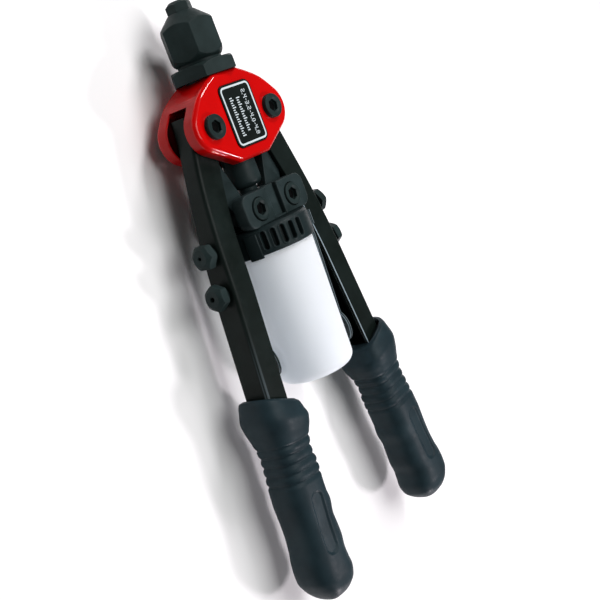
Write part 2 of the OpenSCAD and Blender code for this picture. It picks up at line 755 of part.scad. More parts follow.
// slant of the grip mouth, which dies out down the grip
GRIP_SLANT = [[0, 0.32], [1.1, 0.32], [6, 0.25], [11.5, 0.15], [17.5, 0.05], [24.5, 0]];
grip_n = 32;
grip_at = concat([0, 1.1, 3.5, 6, 8.5, 11.5, 14.5, 17.5, 21],
    [for (i = [0 : grip_grooves - 1]) for (k = [-2 : 2]) grip_groove_at + i * grip_groove_pitch + k * 0.8],
    [49.5, 52.5, 55.5, 58.5, 61.5, 65, 68.5, 71.5, 74.5, 77.5, 80.5, 84, 87.5, 90, 92.5, 95, 97.5, 100, 102.5,
        104.9, 107, 108.7, 110.1, 111.1]);
function grip_col(k) = [for (g = GRIP) [g[0], g[k]]];
function groove_dip(d) = let (
    i = min(grip_grooves - 1, max(0, round((d - grip_groove_at) / grip_groove_pitch))),
    off = abs(d - grip_groove_at - i * grip_groove_pitch))
    off < 1.6 ? grip_groove_depth * (1 + cos(112.5 * off)) / 2 : 0;
function spow(v) = v < 0 ? -pow(-v, 0.77) : pow(v, 0.77);
function grip_pt(d, o, n, f, k, a) = let (u = spow(cos(a)), x = u * (u > 0 ? o : n))
    [grip_x + x, -grip_mouth - d + k * x, spow(sin(a)) * f];
grip_pts = [for (d = grip_at) let (c = groove_dip(d), o = lookup(d, grip_col(1)) - c,
    n = lookup(d, grip_col(2)) - c, f = lookup(d, grip_col(3)) - c, k = lookup(d, GRIP_SLANT))
        for (j = [0 : grip_n - 1]) grip_pt(d, o, n, f, k, j * 360 / grip_n)];
grip_faces = concat(
    [[for (j = [0 : grip_n - 1]) j]],
    [for (i = [0 : len(grip_at) - 2]) for (j = [0 : grip_n - 1])
        [i * grip_n + (j + 1) % grip_n, i * grip_n + j, (i + 1) * grip_n + (j + 1) % grip_n]],
    [for (i = [0 : len(grip_at) - 2]) for (j = [0 : grip_n - 1])
        [i * grip_n + j, (i + 1) * grip_n + j, (i + 1) * grip_n + (j + 1) % grip_n]],
    [[for (j = [grip_n - 1 : -1 : 0]) (len(grip_at) - 1) * grip_n + j]]);

module grip_shape(side) {
    floor_z = lookup(oval_at, grip_col(3)) - oval_depth;
    tool() on_arm(side) difference() {
        polyhedron(points = grip_pts, faces = grip_faces);
        translate([0, -arm_len, 0]) rotate([-90, 0, 0]) linear_extrude(height = grip_cover + 14)
            mirror([0, 1]) polygon(arm_pts(flange_low, web_low, arm_half_low, arm_bend));
        for (s = [-1, 1]) {
            hull() {
                for (e = [-1, 1]) {
                    translate([grip_x, -grip_mouth - oval_at + e * (oval_len - oval_w) / 2,
                        s > 0 ? floor_z : -floor_z - 5]) cylinder(r = oval_w / 2, h = 5, $fn = 24);
                }
            }
        }
    }
}

module grip_right() {
    color([0.07, 0.07, 0.08]) grip_shape(1);
}

module grip_left() {
    color([0.07, 0.07, 0.08]) grip_shape(-1);
}

head();
label_plate();
pivot_screws();
pivot_nuts();
pivot_sleeves();
nose_housing();
lock_nut();
nosepiece();
arm_right();
arm_left();
grip_right();
grip_left();
spare_nosepieces_right();
spare_nosepieces_left();
link_pin_right();
link_pin_left();
link_right();
link_left();
crosshead_front();
crosshead_rear();
crosshead_screws();
pull_rod();
jaw_case();
jaws();
jaw_pusher();
jaw_spring();
collar();
bottle_clips();
bottle();
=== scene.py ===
"""Looks for a two-handed short arm riveter: red head, black levers and grips, milky mandrel bottle.

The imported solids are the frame.  The pieces here are surfaces worked out with numpy that stand for
the solids of the same name, and every finish is a node material.  Lengths in this file are in
millimetres from the line through the two arm pivots, until `to_frame` turns them into metres from
the mouth of the nosepiece.
"""

import json
import logging
import math
from dataclasses import dataclass, field
from enum import Enum
from typing import Sequence

import bmesh
import bpy
import numpy as np
from mathutils import Matrix, Vector

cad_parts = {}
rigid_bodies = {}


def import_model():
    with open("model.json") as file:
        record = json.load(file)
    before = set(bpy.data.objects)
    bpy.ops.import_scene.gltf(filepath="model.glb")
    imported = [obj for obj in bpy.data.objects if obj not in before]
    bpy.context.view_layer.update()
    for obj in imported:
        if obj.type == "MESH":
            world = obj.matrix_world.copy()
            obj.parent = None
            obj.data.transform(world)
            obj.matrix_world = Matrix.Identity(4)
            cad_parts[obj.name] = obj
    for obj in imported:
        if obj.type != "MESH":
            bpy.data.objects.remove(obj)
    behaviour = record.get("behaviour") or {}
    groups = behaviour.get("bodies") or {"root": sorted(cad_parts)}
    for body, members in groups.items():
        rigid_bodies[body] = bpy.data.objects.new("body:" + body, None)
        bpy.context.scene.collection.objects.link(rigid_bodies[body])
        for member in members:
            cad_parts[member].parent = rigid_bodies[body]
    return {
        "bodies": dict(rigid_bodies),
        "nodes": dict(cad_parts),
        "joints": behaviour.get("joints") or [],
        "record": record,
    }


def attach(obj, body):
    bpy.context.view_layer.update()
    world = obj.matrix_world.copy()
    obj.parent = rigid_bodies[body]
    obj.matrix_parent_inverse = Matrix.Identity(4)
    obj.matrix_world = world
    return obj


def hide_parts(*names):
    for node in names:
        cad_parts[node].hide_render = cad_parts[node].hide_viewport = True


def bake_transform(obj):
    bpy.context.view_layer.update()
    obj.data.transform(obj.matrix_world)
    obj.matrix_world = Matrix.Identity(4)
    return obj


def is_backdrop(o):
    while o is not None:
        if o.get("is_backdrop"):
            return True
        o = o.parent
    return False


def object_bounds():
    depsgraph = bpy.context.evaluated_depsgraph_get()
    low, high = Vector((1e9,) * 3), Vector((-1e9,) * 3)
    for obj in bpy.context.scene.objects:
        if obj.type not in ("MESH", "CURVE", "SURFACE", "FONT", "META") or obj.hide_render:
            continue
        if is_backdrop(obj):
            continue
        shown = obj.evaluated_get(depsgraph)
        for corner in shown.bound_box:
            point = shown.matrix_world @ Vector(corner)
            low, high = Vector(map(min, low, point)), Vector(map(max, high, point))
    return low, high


log = logging.getLogger("riveter")

Triple = tuple[float, float, float]
Pairs = Sequence[tuple[float, float]]
Socket = bpy.types.NodeSocket

PIVOT_LINE = 64.4
PIVOT_X = 22.93
ARM_LEAN = math.radians(6.3)
# distance in metres under which points merge, and length under which an edge is dropped
WELD = 1e-6
SLIVER = 1e-7
# gap in metres between the tool's lowest point and the floor
FLOOR_GAP = 0.0004


class Side(Enum):
    """The two sides of the tool, seen from the labelled face."""

    RIGHT = 1
    LEFT = -1

    @property
    def word(self) -> str:
        """The ending that node names use for this side."""
        return "right" if self is Side.RIGHT else "left"

    def shared(self, node: str) -> list[str]:
        """A node that holds both sides' pieces is replaced once, by the right one."""
        return [node] if self is Side.RIGHT else []


# ---- shapes


def to_frame(points: np.ndarray) -> np.ndarray:
    """Millimetres from the pivot line, turned into metres from the nosepiece mouth.

    Args:
        points: array whose last axis is x, y, z.

    Returns:
        The same shape in metres, with y lowered by the distance from pivots to mouth.
    """
    out = np.array(points, dtype=float)
    out[..., 1] -= PIVOT_LINE
    return out / 1000.0


def on_arm(side: Side, down: np.ndarray, out: np.ndarray, z: np.ndarray) -> np.ndarray:
    """Places points given along an arm.

    The arm leans outwards by its lean angle, so a point is the pivot plus `out` along the outward
    normal plus `down` along the arm.

    Args:
        side: which arm.
        down: distance from the pivot down the arm.
        out: distance outboard of the arm's pivot line.
        z: height out of the labelled face.

    Returns:
        Points in millimetres from the pivot line.
    """
    down, out, z = np.broadcast_arrays(down, out, z)
    x = PIVOT_X + down * math.sin(ARM_LEAN) + out * math.cos(ARM_LEAN)
    y = -down * math.cos(ARM_LEAN) + out * math.sin(ARM_LEAN)
    return np.stack([side.value * x, y, z], axis=-1)


def full_turn(count: int) -> np.ndarray:
    """Evenly spaced angles round a circle, in radians, the last short of the first."""
    return np.linspace(0, 2 * math.pi, count, endpoint=False)


def quarter_turn(count: int) -> np.ndarray:
    """Evenly spaced angles from 0 to 90 degrees, in radians."""
    return np.radians(np.linspace(0, 90, count))


def round_bore(r: np.ndarray, y: np.ndarray, a: np.ndarray) -> np.ndarray:
    """Points at radius r, height y and angle a about the bore line: x = r cos a, z = r sin a."""
    r, y, a = np.broadcast_arrays(r, y, a)
    return np.stack([r * np.cos(a), y, r * np.sin(a)], -1)


def layers(rows: Sequence[tuple[np.ndarray, float | np.ndarray]]) -> np.ndarray:
    """Rings made of outlines of x and y, each with its own z, one or one for each point."""
    return np.array([np.column_stack([p, np.broadcast_to(z, len(p))]) for p, z in rows])


def smooth_step(v: np.ndarray) -> np.ndarray:
    """Goes from 0 to 1 as v does, flat at both ends: 3 v squared minus 2 v cubed."""
    v = np.clip(v, 0.0, 1.0)
    return v * v * (3.0 - 2.0 * v)


def bump_at(v: np.ndarray, centre: float, width: float) -> np.ndarray:
    """A bell of height 1 at `centre`, of the Gaussian kind, with `width` as its deviation."""
    return np.exp(-0.5 * ((v - centre) / width) ** 2)


def soft_curve(v: np.ndarray, knots: Pairs) -> np.ndarray:
    """A smooth curve through knots, as cubic Hermite pieces with limited slopes.

    The slope at a knot is a weighted harmonic mean of its neighbours' slopes, or 0 where they
    differ in sign.

    Args:
        v: where to read the curve.
        knots: pairs of place and value, in order.

    Returns:
        The value at each v, held level past both ends.
    """
    t, f = np.array(knots, dtype=float).T
    h = np.diff(t)
    d = np.diff(f) / h
    m = np.zeros_like(f)
    same = d[:-1] * d[1:] > 0
    w1 = 2 * h[1:] + h[:-1]
    w2 = h[1:] + 2 * h[:-1]
    safe0 = np.where(same, d[:-1], 1.0)
    safe1 = np.where(same, d[1:], 1.0)
    m[1:-1] = np.where(same, (w1 + w2) / (w1 / safe0 + w2 / safe1), 0.0)
    x = np.clip(v, t[0], t[-1])
    i = np.clip(np.searchsorted(t, x, side="right") - 1, 0, len(h) - 1)
    s = (x - t[i]) / h[i]
    a = (1 + 2 * s) * (1 - s) ** 2 * f[i] + s * (1 - s) ** 2 * h[i] * m[i]
    b = s * s * (3 - 2 * s) * f[i + 1] + s * s * (s - 1) * h[i] * m[i + 1]
    return a + b


def hexagon(angle: np.ndarray, flats: float, turn: float, crisp: float = 110.0) -> np.ndarray:
    """Radius of a hexagon with slightly rounded corners.

    The radius is half the width across flats over the soft maximum of the six cosines between the
    angle and the face normals.

    Args:
        angle: direction from X towards Z, in radians.
        flats: width across flats.
        turn: direction of one corner, in degrees.
        crisp: power of the soft maximum; larger is sharper.

    Returns:
        The radius in each direction.
    """
    normals = np.radians(turn + 30 + 60 * np.arange(6))
    c = np.maximum(np.cos(angle[..., None] - normals), 1e-3)
    return flats / 2 / (c**crisp).sum(axis=-1) ** (1 / crisp)


def soft_min(a: np.ndarray, b: np.ndarray) -> np.ndarray:
    """The lesser of two radii with the corner between them rounded: a power mean of power -150."""
    low = np.minimum(a, b)
    return low * ((a / low) ** -150.0 + (b / low) ** -150.0) ** (-1 / 150.0)


def polyline(points: Pairs, step: float) -> np.ndarray:
    """Points along a polyline at a steady spacing, corners kept.

    Args:
        points: the corners.
        step: largest spacing.

    Returns:
        Array of the points.
    """
    p = np.array(points, dtype=float)
    parts = []
    for a, b in zip(p[:-1], p[1:]):
        n = max(1, int(math.ceil(float(np.hypot(*(b - a))) / step)))
        parts.append(a + (b - a) * np.linspace(0, 1, n, endpoint=False)[:, None])
    return np.concatenate(parts + [p[-1:]])


def rounded(points: Pairs, radius: float, arc: int) -> np.ndarray:
    """A polyline whose inner corners are rounded.

    Each corner gives way to a quadratic curve that leaves its two sides at `radius`, or at half of
    a shorter side.

    Args:
        points: the corners.
        radius: how far from the corner the curve starts.
        arc: pieces in each curve.

    Returns:
        Array of the points.
    """
    p = np.array(points, dtype=float)
    out = [p[:1]]
    s = np.linspace(0, 1, arc + 1)[:, None]
    for a, b, c in zip(p[:-2], p[1:-1], p[2:]):
        u, v = a - b, c - b
        lu, lv = np.hypot(*u), np.hypot(*v)
        k = min(radius, lu / 2, lv / 2)
        q0, q1 = b + u / lu * k, b + v / lv * k
        out.append((1 - s) ** 2 * q0 + 2 * s * (1 - s) * b + s * s * q1)
    return np.concatenate(out + [p[-1:]])


def even_loop(points: np.ndarray, count: int) -> np.ndarray:
    """A closed outline read again at even spacing.

    Args:
        points: the outline, first point not repeated.
        count: points wanted.

    Returns:
        Array of the points.
    """
    shut = np.concatenate([points, points[:1]])
    length = np.concatenate([[0], np.cumsum(np.hypot(*np.diff(shut, axis=0).T))])
    at = np.linspace(0, length[-1], count, endpoint=False)
    return np.stack([np.interp(at, length, shut[:, k]) for k in (0, 1)], -1)


def rounded_box(low: tuple[float, float], high: tuple[float, float], radii: Sequence[float],
                count: int) -> np.ndarray:
    """A rectangle with its own radius at each corner, evenly spaced.

    Each corner is a rational quadratic curve of weight root one half, which on a right angle is a
    quarter circle.

    Args:
        low: least x and y.
        high: greatest x and y.
        radii: radius at each corner, anticlockwise from the lowest.
        count: points wanted.

    Returns:
        Array of the points.
    """
    p = np.array([low, (high[0], low[1]), high, (low[0], high[1])], dtype=float)
    s = np.linspace(0, 1, 13)[:, None]
    out = []
    for a, b, c, r in zip(np.roll(p, 1, 0), p, np.roll(p, -1, 0), radii):
        q0 = b + (a - b) / np.hypot(*(a - b)) * r
        q1 = b + (c - b) / np.hypot(*(c - b)) * r
        w = 2 * s * (1 - s) * math.sqrt(0.5)
        total = (1 - s) ** 2 + w + s * s
        out.append(((1 - s) ** 2 * q0 + w * b + s * s * q1) / total)
    return even_loop(np.concatenate(out), count)


def inset_loop(points: np.ndarray, amount: np.ndarray | float, blur: int = 1) -> np.ndarray:
    """Moves a closed outline inwards along its normals.

    Args:
        points: the outline, anticlockwise.
        amount: distance, one for all or one for each point.
        blur: how often the normals are averaged with their neighbours.

    Returns:
        The moved points.
    """
    t = np.roll(points, -1, 0) - np.roll(points, 1, 0)
    t /= np.hypot(t[:, 0], t[:, 1])[:, None]
    normal = np.stack([t[:, 1], -t[:, 0]], -1)
    for _ in range(blur):
        normal = (np.roll(normal, 1, 0) + normal + np.roll(normal, -1, 0)) / 3
    return points - normal * np.broadcast_to(amount, len(points))[:, None]


def round_over(loop: np.ndarray, radius: float, z: float, count: int) -> list[tuple[np.ndarray, float]]:
    """Outlines with heights that round a plate's edge: in by r (1 - cos q), down by r (1 - sin q)."""
    return [(inset_loop(loop, radius * (1 - math.cos(q))), z - radius * (1 - math.sin(q)))
            for q in quarter_turn(count)]


def new_object(name: str, data: bpy.types.ID) -> bpy.types.Object:
    """Makes an object from its data and links it to the scene.

    Args:
        name: name of the object.
        data: its mesh, lamp or camera data.

    Returns:
        The object.
    """
    obj = bpy.data.objects.new(name, data)
    bpy.context.scene.collection.objects.link(obj)
    return obj


class Shell:
    """Collects surfaces as rings of points and turns them into one mesh object."""

    def __init__(self) -> None:
        """Starts with no surface."""
        self.points: list[np.ndarray] = []
        self.shades: list[np.ndarray] = []
        self.faces: list[list[int]] = []
        self.count = 0

    def add(self, points: np.ndarray, shades: np.ndarray, *faces: np.ndarray) -> "Shell":
        """Adds points and the faces between them.

        Args:
            points: rows of x, y, z.
            shades: one shade for each point.
            faces: arrays with a face in each row, as places in `points`.

        Returns:
            The shell itself.
        """
        self.points.append(points)
        self.shades.append(shades)
        for block in faces:
            self.faces += (block + self.count).tolist()
        self.count += len(points)
        return self

    def loft(self, rings: np.ndarray, caps: bool = True, shade: np.ndarray | float = 0.0) -> "Shell":
        """Adds a tube through rings of equal size, each ring closed on itself.

        Quad number i, j joins points j and j + 1 of rings i and i + 1; with caps each end gets a
        fan to the mean of its ring.

        Args:
            rings: array of rings, points and x, y, z.
            caps: closes the first and the last ring.
            shade: 0 for the full finish, up to 1 for painted shade, down to -1 for a painted highlight.

        Returns:
            The shell itself.
        """
        rows, cols = rings.shape[:2]
        dark = np.broadcast_to(shade, (rows, cols))
        j = np.arange(cols)
        n = (j + 1) % cols
        i = cols * np.arange(rows - 1)[:, None]
        quads = np.stack(np.broadcast_arrays(i + j, i + n, i + cols + n, i + cols + j), -1)
        points, darks, faces = [rings.reshape(-1, 3)], [dark.reshape(-1)], [quads.reshape(-1, 4)]
        if caps:
            for k, row in enumerate((0, rows - 1)):
                points.append(rings[row].mean(axis=0)[None])
                darks.append(dark[row].mean()[None])
                hub = np.full(cols, rows * cols + k)
                faces.append(np.stack([row * cols + j, row * cols + n, hub], -1))
        return self.add(np.concatenate(points), np.concatenate(darks), *faces)

    def revolve(self, profile: np.ndarray, steps: int = 128, caps: bool = False) -> "Shell":
        """Adds a body of revolution about the bore line; a closed profile of radius and y needs no caps."""
        return self.loft(round_bore(profile[:, :1], profile[:, 1:], full_turn(steps)), caps)

    def revolve_z(self, profile: Pairs | np.ndarray, centre: tuple[float, float]) -> "Shell":
        """Adds a body of revolution about a line along Z: x and y are the centre plus r cos a, r sin a.

        Args:
            profile: pairs of radius and z.
            centre: x and y of the line.

        Returns:
            The shell itself.
        """
        p, a = np.array(profile, dtype=float), full_turn(96)
        x, y = centre[0] + p[:, :1] * np.cos(a), centre[1] + p[:, :1] * np.sin(a)
        return self.loft(np.stack([x, y, np.broadcast_to(p[:, 1:], x.shape)], -1))

    def piece(self, name: str, sharp: float = 32.0) -> bpy.types.Object:
        """Makes the object, with its place in its mesh and its faces pointing outwards.

        Doubled points merge and empty faces go first.

        Args:
            name: name of the piece.
            sharp: edges that turn by more degrees than this stay sharp.

        Returns:
            The new object, linked to the scene.
        """
        mesh = bpy.data.meshes.new(name)
        mesh.from_pydata(to_frame(np.concatenate(self.points)), [], self.faces)
        layer = mesh.attributes.new("shade", "FLOAT", "POINT")
        layer.data.foreach_set("value", np.concatenate(self.shades).astype(np.float32))
        bm = bmesh.new()
        bm.from_mesh(mesh)
        bmesh.ops.remove_doubles(bm, verts=bm.verts, dist=WELD)
        bmesh.ops.dissolve_degenerate(bm, dist=SLIVER, edges=bm.edges)
        bmesh.ops.recalc_face_normals(bm, faces=bm.faces)
        bm.to_mesh(mesh)
        bm.free()
        mesh.shade_smooth()
        mesh.set_sharp_from_angle(angle=math.radians(sharp))
        return new_object(name, mesh)


# ---- finishes


class Nodes:
    """Short way to lay out one material's nodes."""

    def __init__(self, name: str) -> None:
        """Starts a material that holds a principled shader only.

        Args:
            name: name of the material.
        """
        self.material = bpy.data.materials.new(name)
        self.material.use_nodes = True
        self.tree = self.material.node_tree
        self.shader = self.tree.nodes["Principled BSDF"]
        self.coords = self.tree.nodes.new("ShaderNodeTexCoord").outputs["Object"]

    def put(self, place: Socket, value: Socket | float | tuple[float, ...]) -> None:
        """Links a socket to an input, or sets the input when the value is constant.

        Args:
            place: the input.
            value: a socket, a number, or a triple; on a colour input the triple is opaque.
        """
        if isinstance(value, Socket):
            self.tree.links.new(value, place)
        elif place.type == "RGBA":
            place.default_value = (*value, 1.0)
        else:
            place.default_value = value

    def node(self, kind: str, inputs: dict) -> bpy.types.Node:
        """Adds a node.

        Args:
            kind: Blender's name for the type of node.
            inputs: what goes on each input, by name or number.

        Returns:
            The node.
        """
        node = self.tree.nodes.new(kind)
        for key, value in inputs.items():
            self.put(node.inputs[key], value)
        return node

    def feed(self, inputs: dict) -> None:
        """Puts values or sockets on the shader's inputs, by name."""
        for key, value in inputs.items():
            self.put(self.shader.inputs[key], value)

    def noise(self, scale: float, detail: float = 4.0, rough: float = 0.55) -> Socket:
        """Noise on the object's coordinates: waves per metre, octaves and weight of the finer ones."""
        inputs = {"Scale": scale, "Detail": detail, "Roughness": rough, "Vector": self.coords}
        return self.node("ShaderNodeTexNoise", inputs).outputs["Fac"]

    def shade(self) -> Socket:
        """Reads the piece's own shade.

        Returns:
            0 on full finish, 1 on full painted shade, -1 on a full painted highlight.
        """
        n = self.tree.nodes.new("ShaderNodeAttribute")
        n.attribute_name = "shade"
        return n.outputs["Fac"]

    def spread(self, value: Socket, low: float, high: float, a: float = 0.0, b: float = 1.0) -> Socket:
        """Maps a value from the span low to high onto a to b, held at both ends."""
        inputs = {"From Min": low, "From Max": high, "To Min": a, "To Max": b, "Value": value}
        return self.node("ShaderNodeMapRange", inputs).outputs["Result"]

    def mix(self, factor: Socket, a: Socket | Triple, b: Triple) -> Socket:
        """Mixes two colours.

        Args:
            factor: share of the second colour.
            a: first colour, or a socket with it.
            b: second colour.

        Returns:
            The mixed colour.
        """
        n = self.tree.nodes.new("ShaderNodeMix")
        n.data_type = "RGBA"
        for place, value in ((6, a), (7, b), (0, factor)):
            self.put(n.inputs[place], value)
        return n.outputs[2]

    def bump(self, height: Socket, depth: float, strength: float) -> None:
        """Gives the shader a bump of the given depth in metres."""
        inputs = {"Strength": strength, "Distance": depth, "Height": height}
        self.feed({"Normal": self.node("ShaderNodeBump", inputs).outputs["Normal"]})


@dataclass(frozen=True)
class Finish:
    """A finish with two tones, a cloudy gloss and a fine grain.

    Fields give the two tones, the span of the roughness, the metal share, the clear coat, the sizes
    of cloud and grain as waves per metre, the grain's depth in metres and its strength, the
    specular level, and how strong the pale specks are.  The piece's shade attribute paints shade from
    0 to 1, darkening the colour and lowering specular and coat, and paints a highlight from 0 to -1,
    lightening the colour to a pale tone by the highlight share.
    """

    name: str
    tone: Triple
    tone_two: Triple
    rough: tuple[float, float]
    metal: float = 0.0
    coat: float = 0.0
    coat_rough: float = 0.05
    cloud: float = 60.0
    grain: float = 1800.0
    depth: float = 0.00003
    strength: float = 0.3
    specular: float = 0.5
    dust: float = 0.0
    # painted shade tone, painted highlight tone and share, and the specular level under painted shade
    bare: Triple = (0.0015, 0.0016, 0.0017)
    worn: Triple = (0.5, 0.63, 0.7)
    worn_share: float = 0.85
    bare_specular: float = 0.05

    def make(self) -> bpy.types.Material:
        """Builds the node material.

        Returns:
            The material.
        """
        n = Nodes(self.name)
        cloud = n.noise(self.cloud, 5.0)
        grain = n.noise(self.grain, 3.0)
        colour = n.mix(n.spread(cloud, 0.35, 0.65), self.tone, self.tone_two)
        if self.dust > 0:
            specks = n.spread(n.noise(self.grain * 0.35, 6.0, 0.7), 0.62, 0.8, 0.0, self.dust)
            colour = n.mix(specks, colour, tuple(min(1.0, c * 3.5 + 0.05) for c in self.tone))
        # painted shade and painted highlight: the shade attribute darkens colour, specular and coat, or
        # lightens the colour
        shade = n.shade()
        colour = n.mix(n.spread(shade, 0.0, 1.0), colour, self.bare)
        n.feed({
            "Base Color": n.mix(n.spread(shade, -1.0, 0.0, self.worn_share, 0.0), colour, self.worn),
            "Roughness": n.spread(n.noise(self.cloud * 6, 4.0), 0.3, 0.7, *self.rough),
            "Metallic": self.metal,
            "Specular IOR Level": n.spread(shade, 0.0, 1.0, self.specular, self.bare_specular),
        })
        if self.coat > 0:
            coat = n.spread(shade, 0.0, 0.6, self.coat, 0.0)
            n.feed({"Coat Weight": coat, "Coat Roughness": self.coat_rough})
        n.bump(grain, self.depth, self.strength)
        return n.material


@dataclass(frozen=True)
class MilkyPlastic:
    """Soft polyethylene of the mandrel bottle: white, waxy, with light scattered inside.

    Fields give the two tones, the colour of the light let through and its share, and the faint
    glow that stands for light gathered in the wall.
    """

    name: str = "milky_plastic"
    tone: Triple = (0.96, 0.972, 0.975)
    tone_two: Triple = (0.97, 0.985, 0.985)
    through: Triple = (0.94, 0.97, 1.0)
    through_share: float = 0.6
    glow: float = 0.1

    def make(self) -> bpy.types.Material:
        """Builds the node material.

        Returns:
            The material.
        """
        n = Nodes(self.name)
        cloud = n.spread(n.noise(35.0, 3.0), 0.3, 0.7)
        n.feed({
            "Base Color": n.mix(cloud, self.tone, self.tone_two),
            "Roughness": n.spread(n.noise(220.0), 0.3, 0.7, 0.36, 0.46),
            "Subsurface Weight": 0.25,
            "Subsurface Scale": 0.004,
            "Subsurface Radius": (1.0, 1.0, 1.0),
            "Specular IOR Level": 0.3,
            "Emission Color": (1.0, 1.0, 1.0),
            "Emission Strength": self.glow,
        })
        n.bump(n.noise(900.0), 0.00002, 0.15)
        through = n.node("ShaderNodeBsdfTranslucent", {"Color": self.through})
        shaders = {0: self.through_share, 1: n.shader.outputs[0], 2: through.outputs[0]}
        both = n.node("ShaderNodeMixShader", shaders)
        n.put(n.tree.nodes["Material Output"].inputs["Surface"], both.outputs[0])
        return n.material


FINISHES: dict[str, Finish | MilkyPlastic] = {
    "red_paint": Finish("red_enamel", (0.52, 0.0003, 0.0003), (0.48, 0.0002, 0.0003), (0.3, 0.36), coat=0.55,
                        coat_rough=0.04, grain=420.0, depth=0.00002, strength=0.08, specular=0.04),
    "label": Finish("label_black", (0.005, 0.0075, 0.007), (0.007, 0.0105, 0.0095), (0.32, 0.4),
                    grain=2600.0, specular=0.08),
    "label_mark": Finish("label_silver", (0.52, 0.6, 0.62), (0.6, 0.68, 0.7), (0.3, 0.4), grain=2600.0),
    "black_oxide": Finish("black_oxide", (0.011, 0.019, 0.0185), (0.0185, 0.0305, 0.0305), (0.36, 0.5),
                          grain=2400.0, depth=0.00002, dust=0.04, specular=0.07),
    "bright_steel": Finish("machined_steel", (0.42, 0.42, 0.43), (0.5, 0.5, 0.51), (0.25, 0.38), metal=1.0),
    "black_paint": Finish("lever_paint", (0.0045, 0.0078, 0.0066), (0.0075, 0.0125, 0.0112), (0.32, 0.44),
                          grain=1500.0, depth=0.00004, strength=0.35, dust=0.03, specular=0.09),
    "grip_rubber": Finish("grip_rubber", (0.0105, 0.0215, 0.027), (0.0155, 0.031, 0.038), (0.42, 0.52),
                          grain=2200.0, depth=0.00004, strength=0.3, dust=0.02, specular=0.12),
    "dark_steel": Finish("blackened_steel", (0.0115, 0.02, 0.0205), (0.0205, 0.033, 0.034), (0.38, 0.52),
                         grain=1300.0, depth=0.00004, strength=0.4, dust=0.08, specular=0.12),
    "black_plastic": Finish("collar_plastic", (0.0085, 0.0155, 0.0165), (0.0125, 0.022, 0.023), (0.35, 0.5),
                            grain=1700.0, dust=0.04, specular=0.12),
    "bottle_plastic": MilkyPlastic(),
}


class Paintbox:
    """Makes each finish once and hands it out by the record's slot name."""

    def __init__(self) -> None:
        """Starts with no material made."""
        self.made: dict[str, bpy.types.Material] = {}

    def get(self, slot: str) -> bpy.types.Material:
        """Hands out the material of a slot and makes it on first use.

        Args:
            slot: the record's name for the finish.

        Returns:
            The material.
        """
        if slot not in self.made:
            self.made[slot] = FINISHES[slot].make()
        return self.made[slot]

    def dress(self, obj: bpy.types.Object, slot: str) -> None:
        """Gives an object one material and nothing else."""
        obj.data.materials.clear()
        obj.data.materials.append(self.get(slot))


@dataclass
class Kit:
    """What every sub-assembly needs: the imported frame and the finishes."""

    frame: dict
    paint: Paintbox = field(default_factory=Paintbox)

    def seat(self, obj: bpy.types.Object, body: str, slot: str, *nodes: str) -> None:
        """Dresses a piece, lets it ride on a body and stand for the nodes it replaces.

        Args:
            obj: the piece.
            body: the body that carries it.
            slot: the record's material slot.
            nodes: nodes that it replaces.
        """
        self.paint.dress(obj, slot)
        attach(obj, body)
        if nodes:
            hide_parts(*nodes)
        log.info("%s rides on %s", obj.name, body)


@dataclass
class Assembly:
    kit: Kit


@dataclass
class SocketScrew(Assembly):
    """A cap screw with a hexagon socket, its head standing on a face that looks along Z."""

    head: float
    height: float
    length: float
    at: Triple
    turn: float
    depth: float = 2.2
    shank: float = 4.0
    key: float = 6.0
    edge: float = 0.6
    countersink: Pairs = ((4.35, 0.0), (4.1, 0.12), (3.75, 0.3))

    def build(self, name: str, body: str, *nodes: str) -> None:
        """Makes the screw as one loft that climbs the shank and head and goes down the socket.

        A ring is round, or takes the radius of the hexagon in each direction.

        Args:
            name: name of the piece.
            body: body that carries it.
            nodes: nodes that it replaces.
        """
        a = full_turn(144)
        hexa = hexagon(a, self.key, self.turn, 120.0)
        h, r, e = self.height, self.head, self.edge
        rings = [(self.shank, -self.length), (self.shank, -0.2), (self.shank, 0.0), (r, 0.0)]
        rings += [(r - e * (1 - math.cos(q)), h - e * (1 - math.sin(q))) for q in quarter_turn(7)]
        floor = h - self.depth
        rings += [(np.maximum(hexa, wide), h - drop) for wide, drop in self.countersink]
        rings += [(hexa, h - 0.55), (hexa, floor), (2.4, floor - 0.02), (0.3, floor - 0.2)]
        x, y, z = self.at
        pts = [np.stack([x + q * np.cos(a), y + q * np.sin(a), np.full(len(a), z + v)], -1) for q, v in rings]
        # painted shade: the socket walls darken towards the bottom and the socket floor is fully dark
        shade = np.zeros((len(rings), 1))
        shade[-3:] = [[0.35], [1.0], [1.0]]
        self.kit.seat(Shell().loft(np.array(pts), shade=shade).piece(name, 28.0), body, "black_oxide", *nodes)


# ---- head


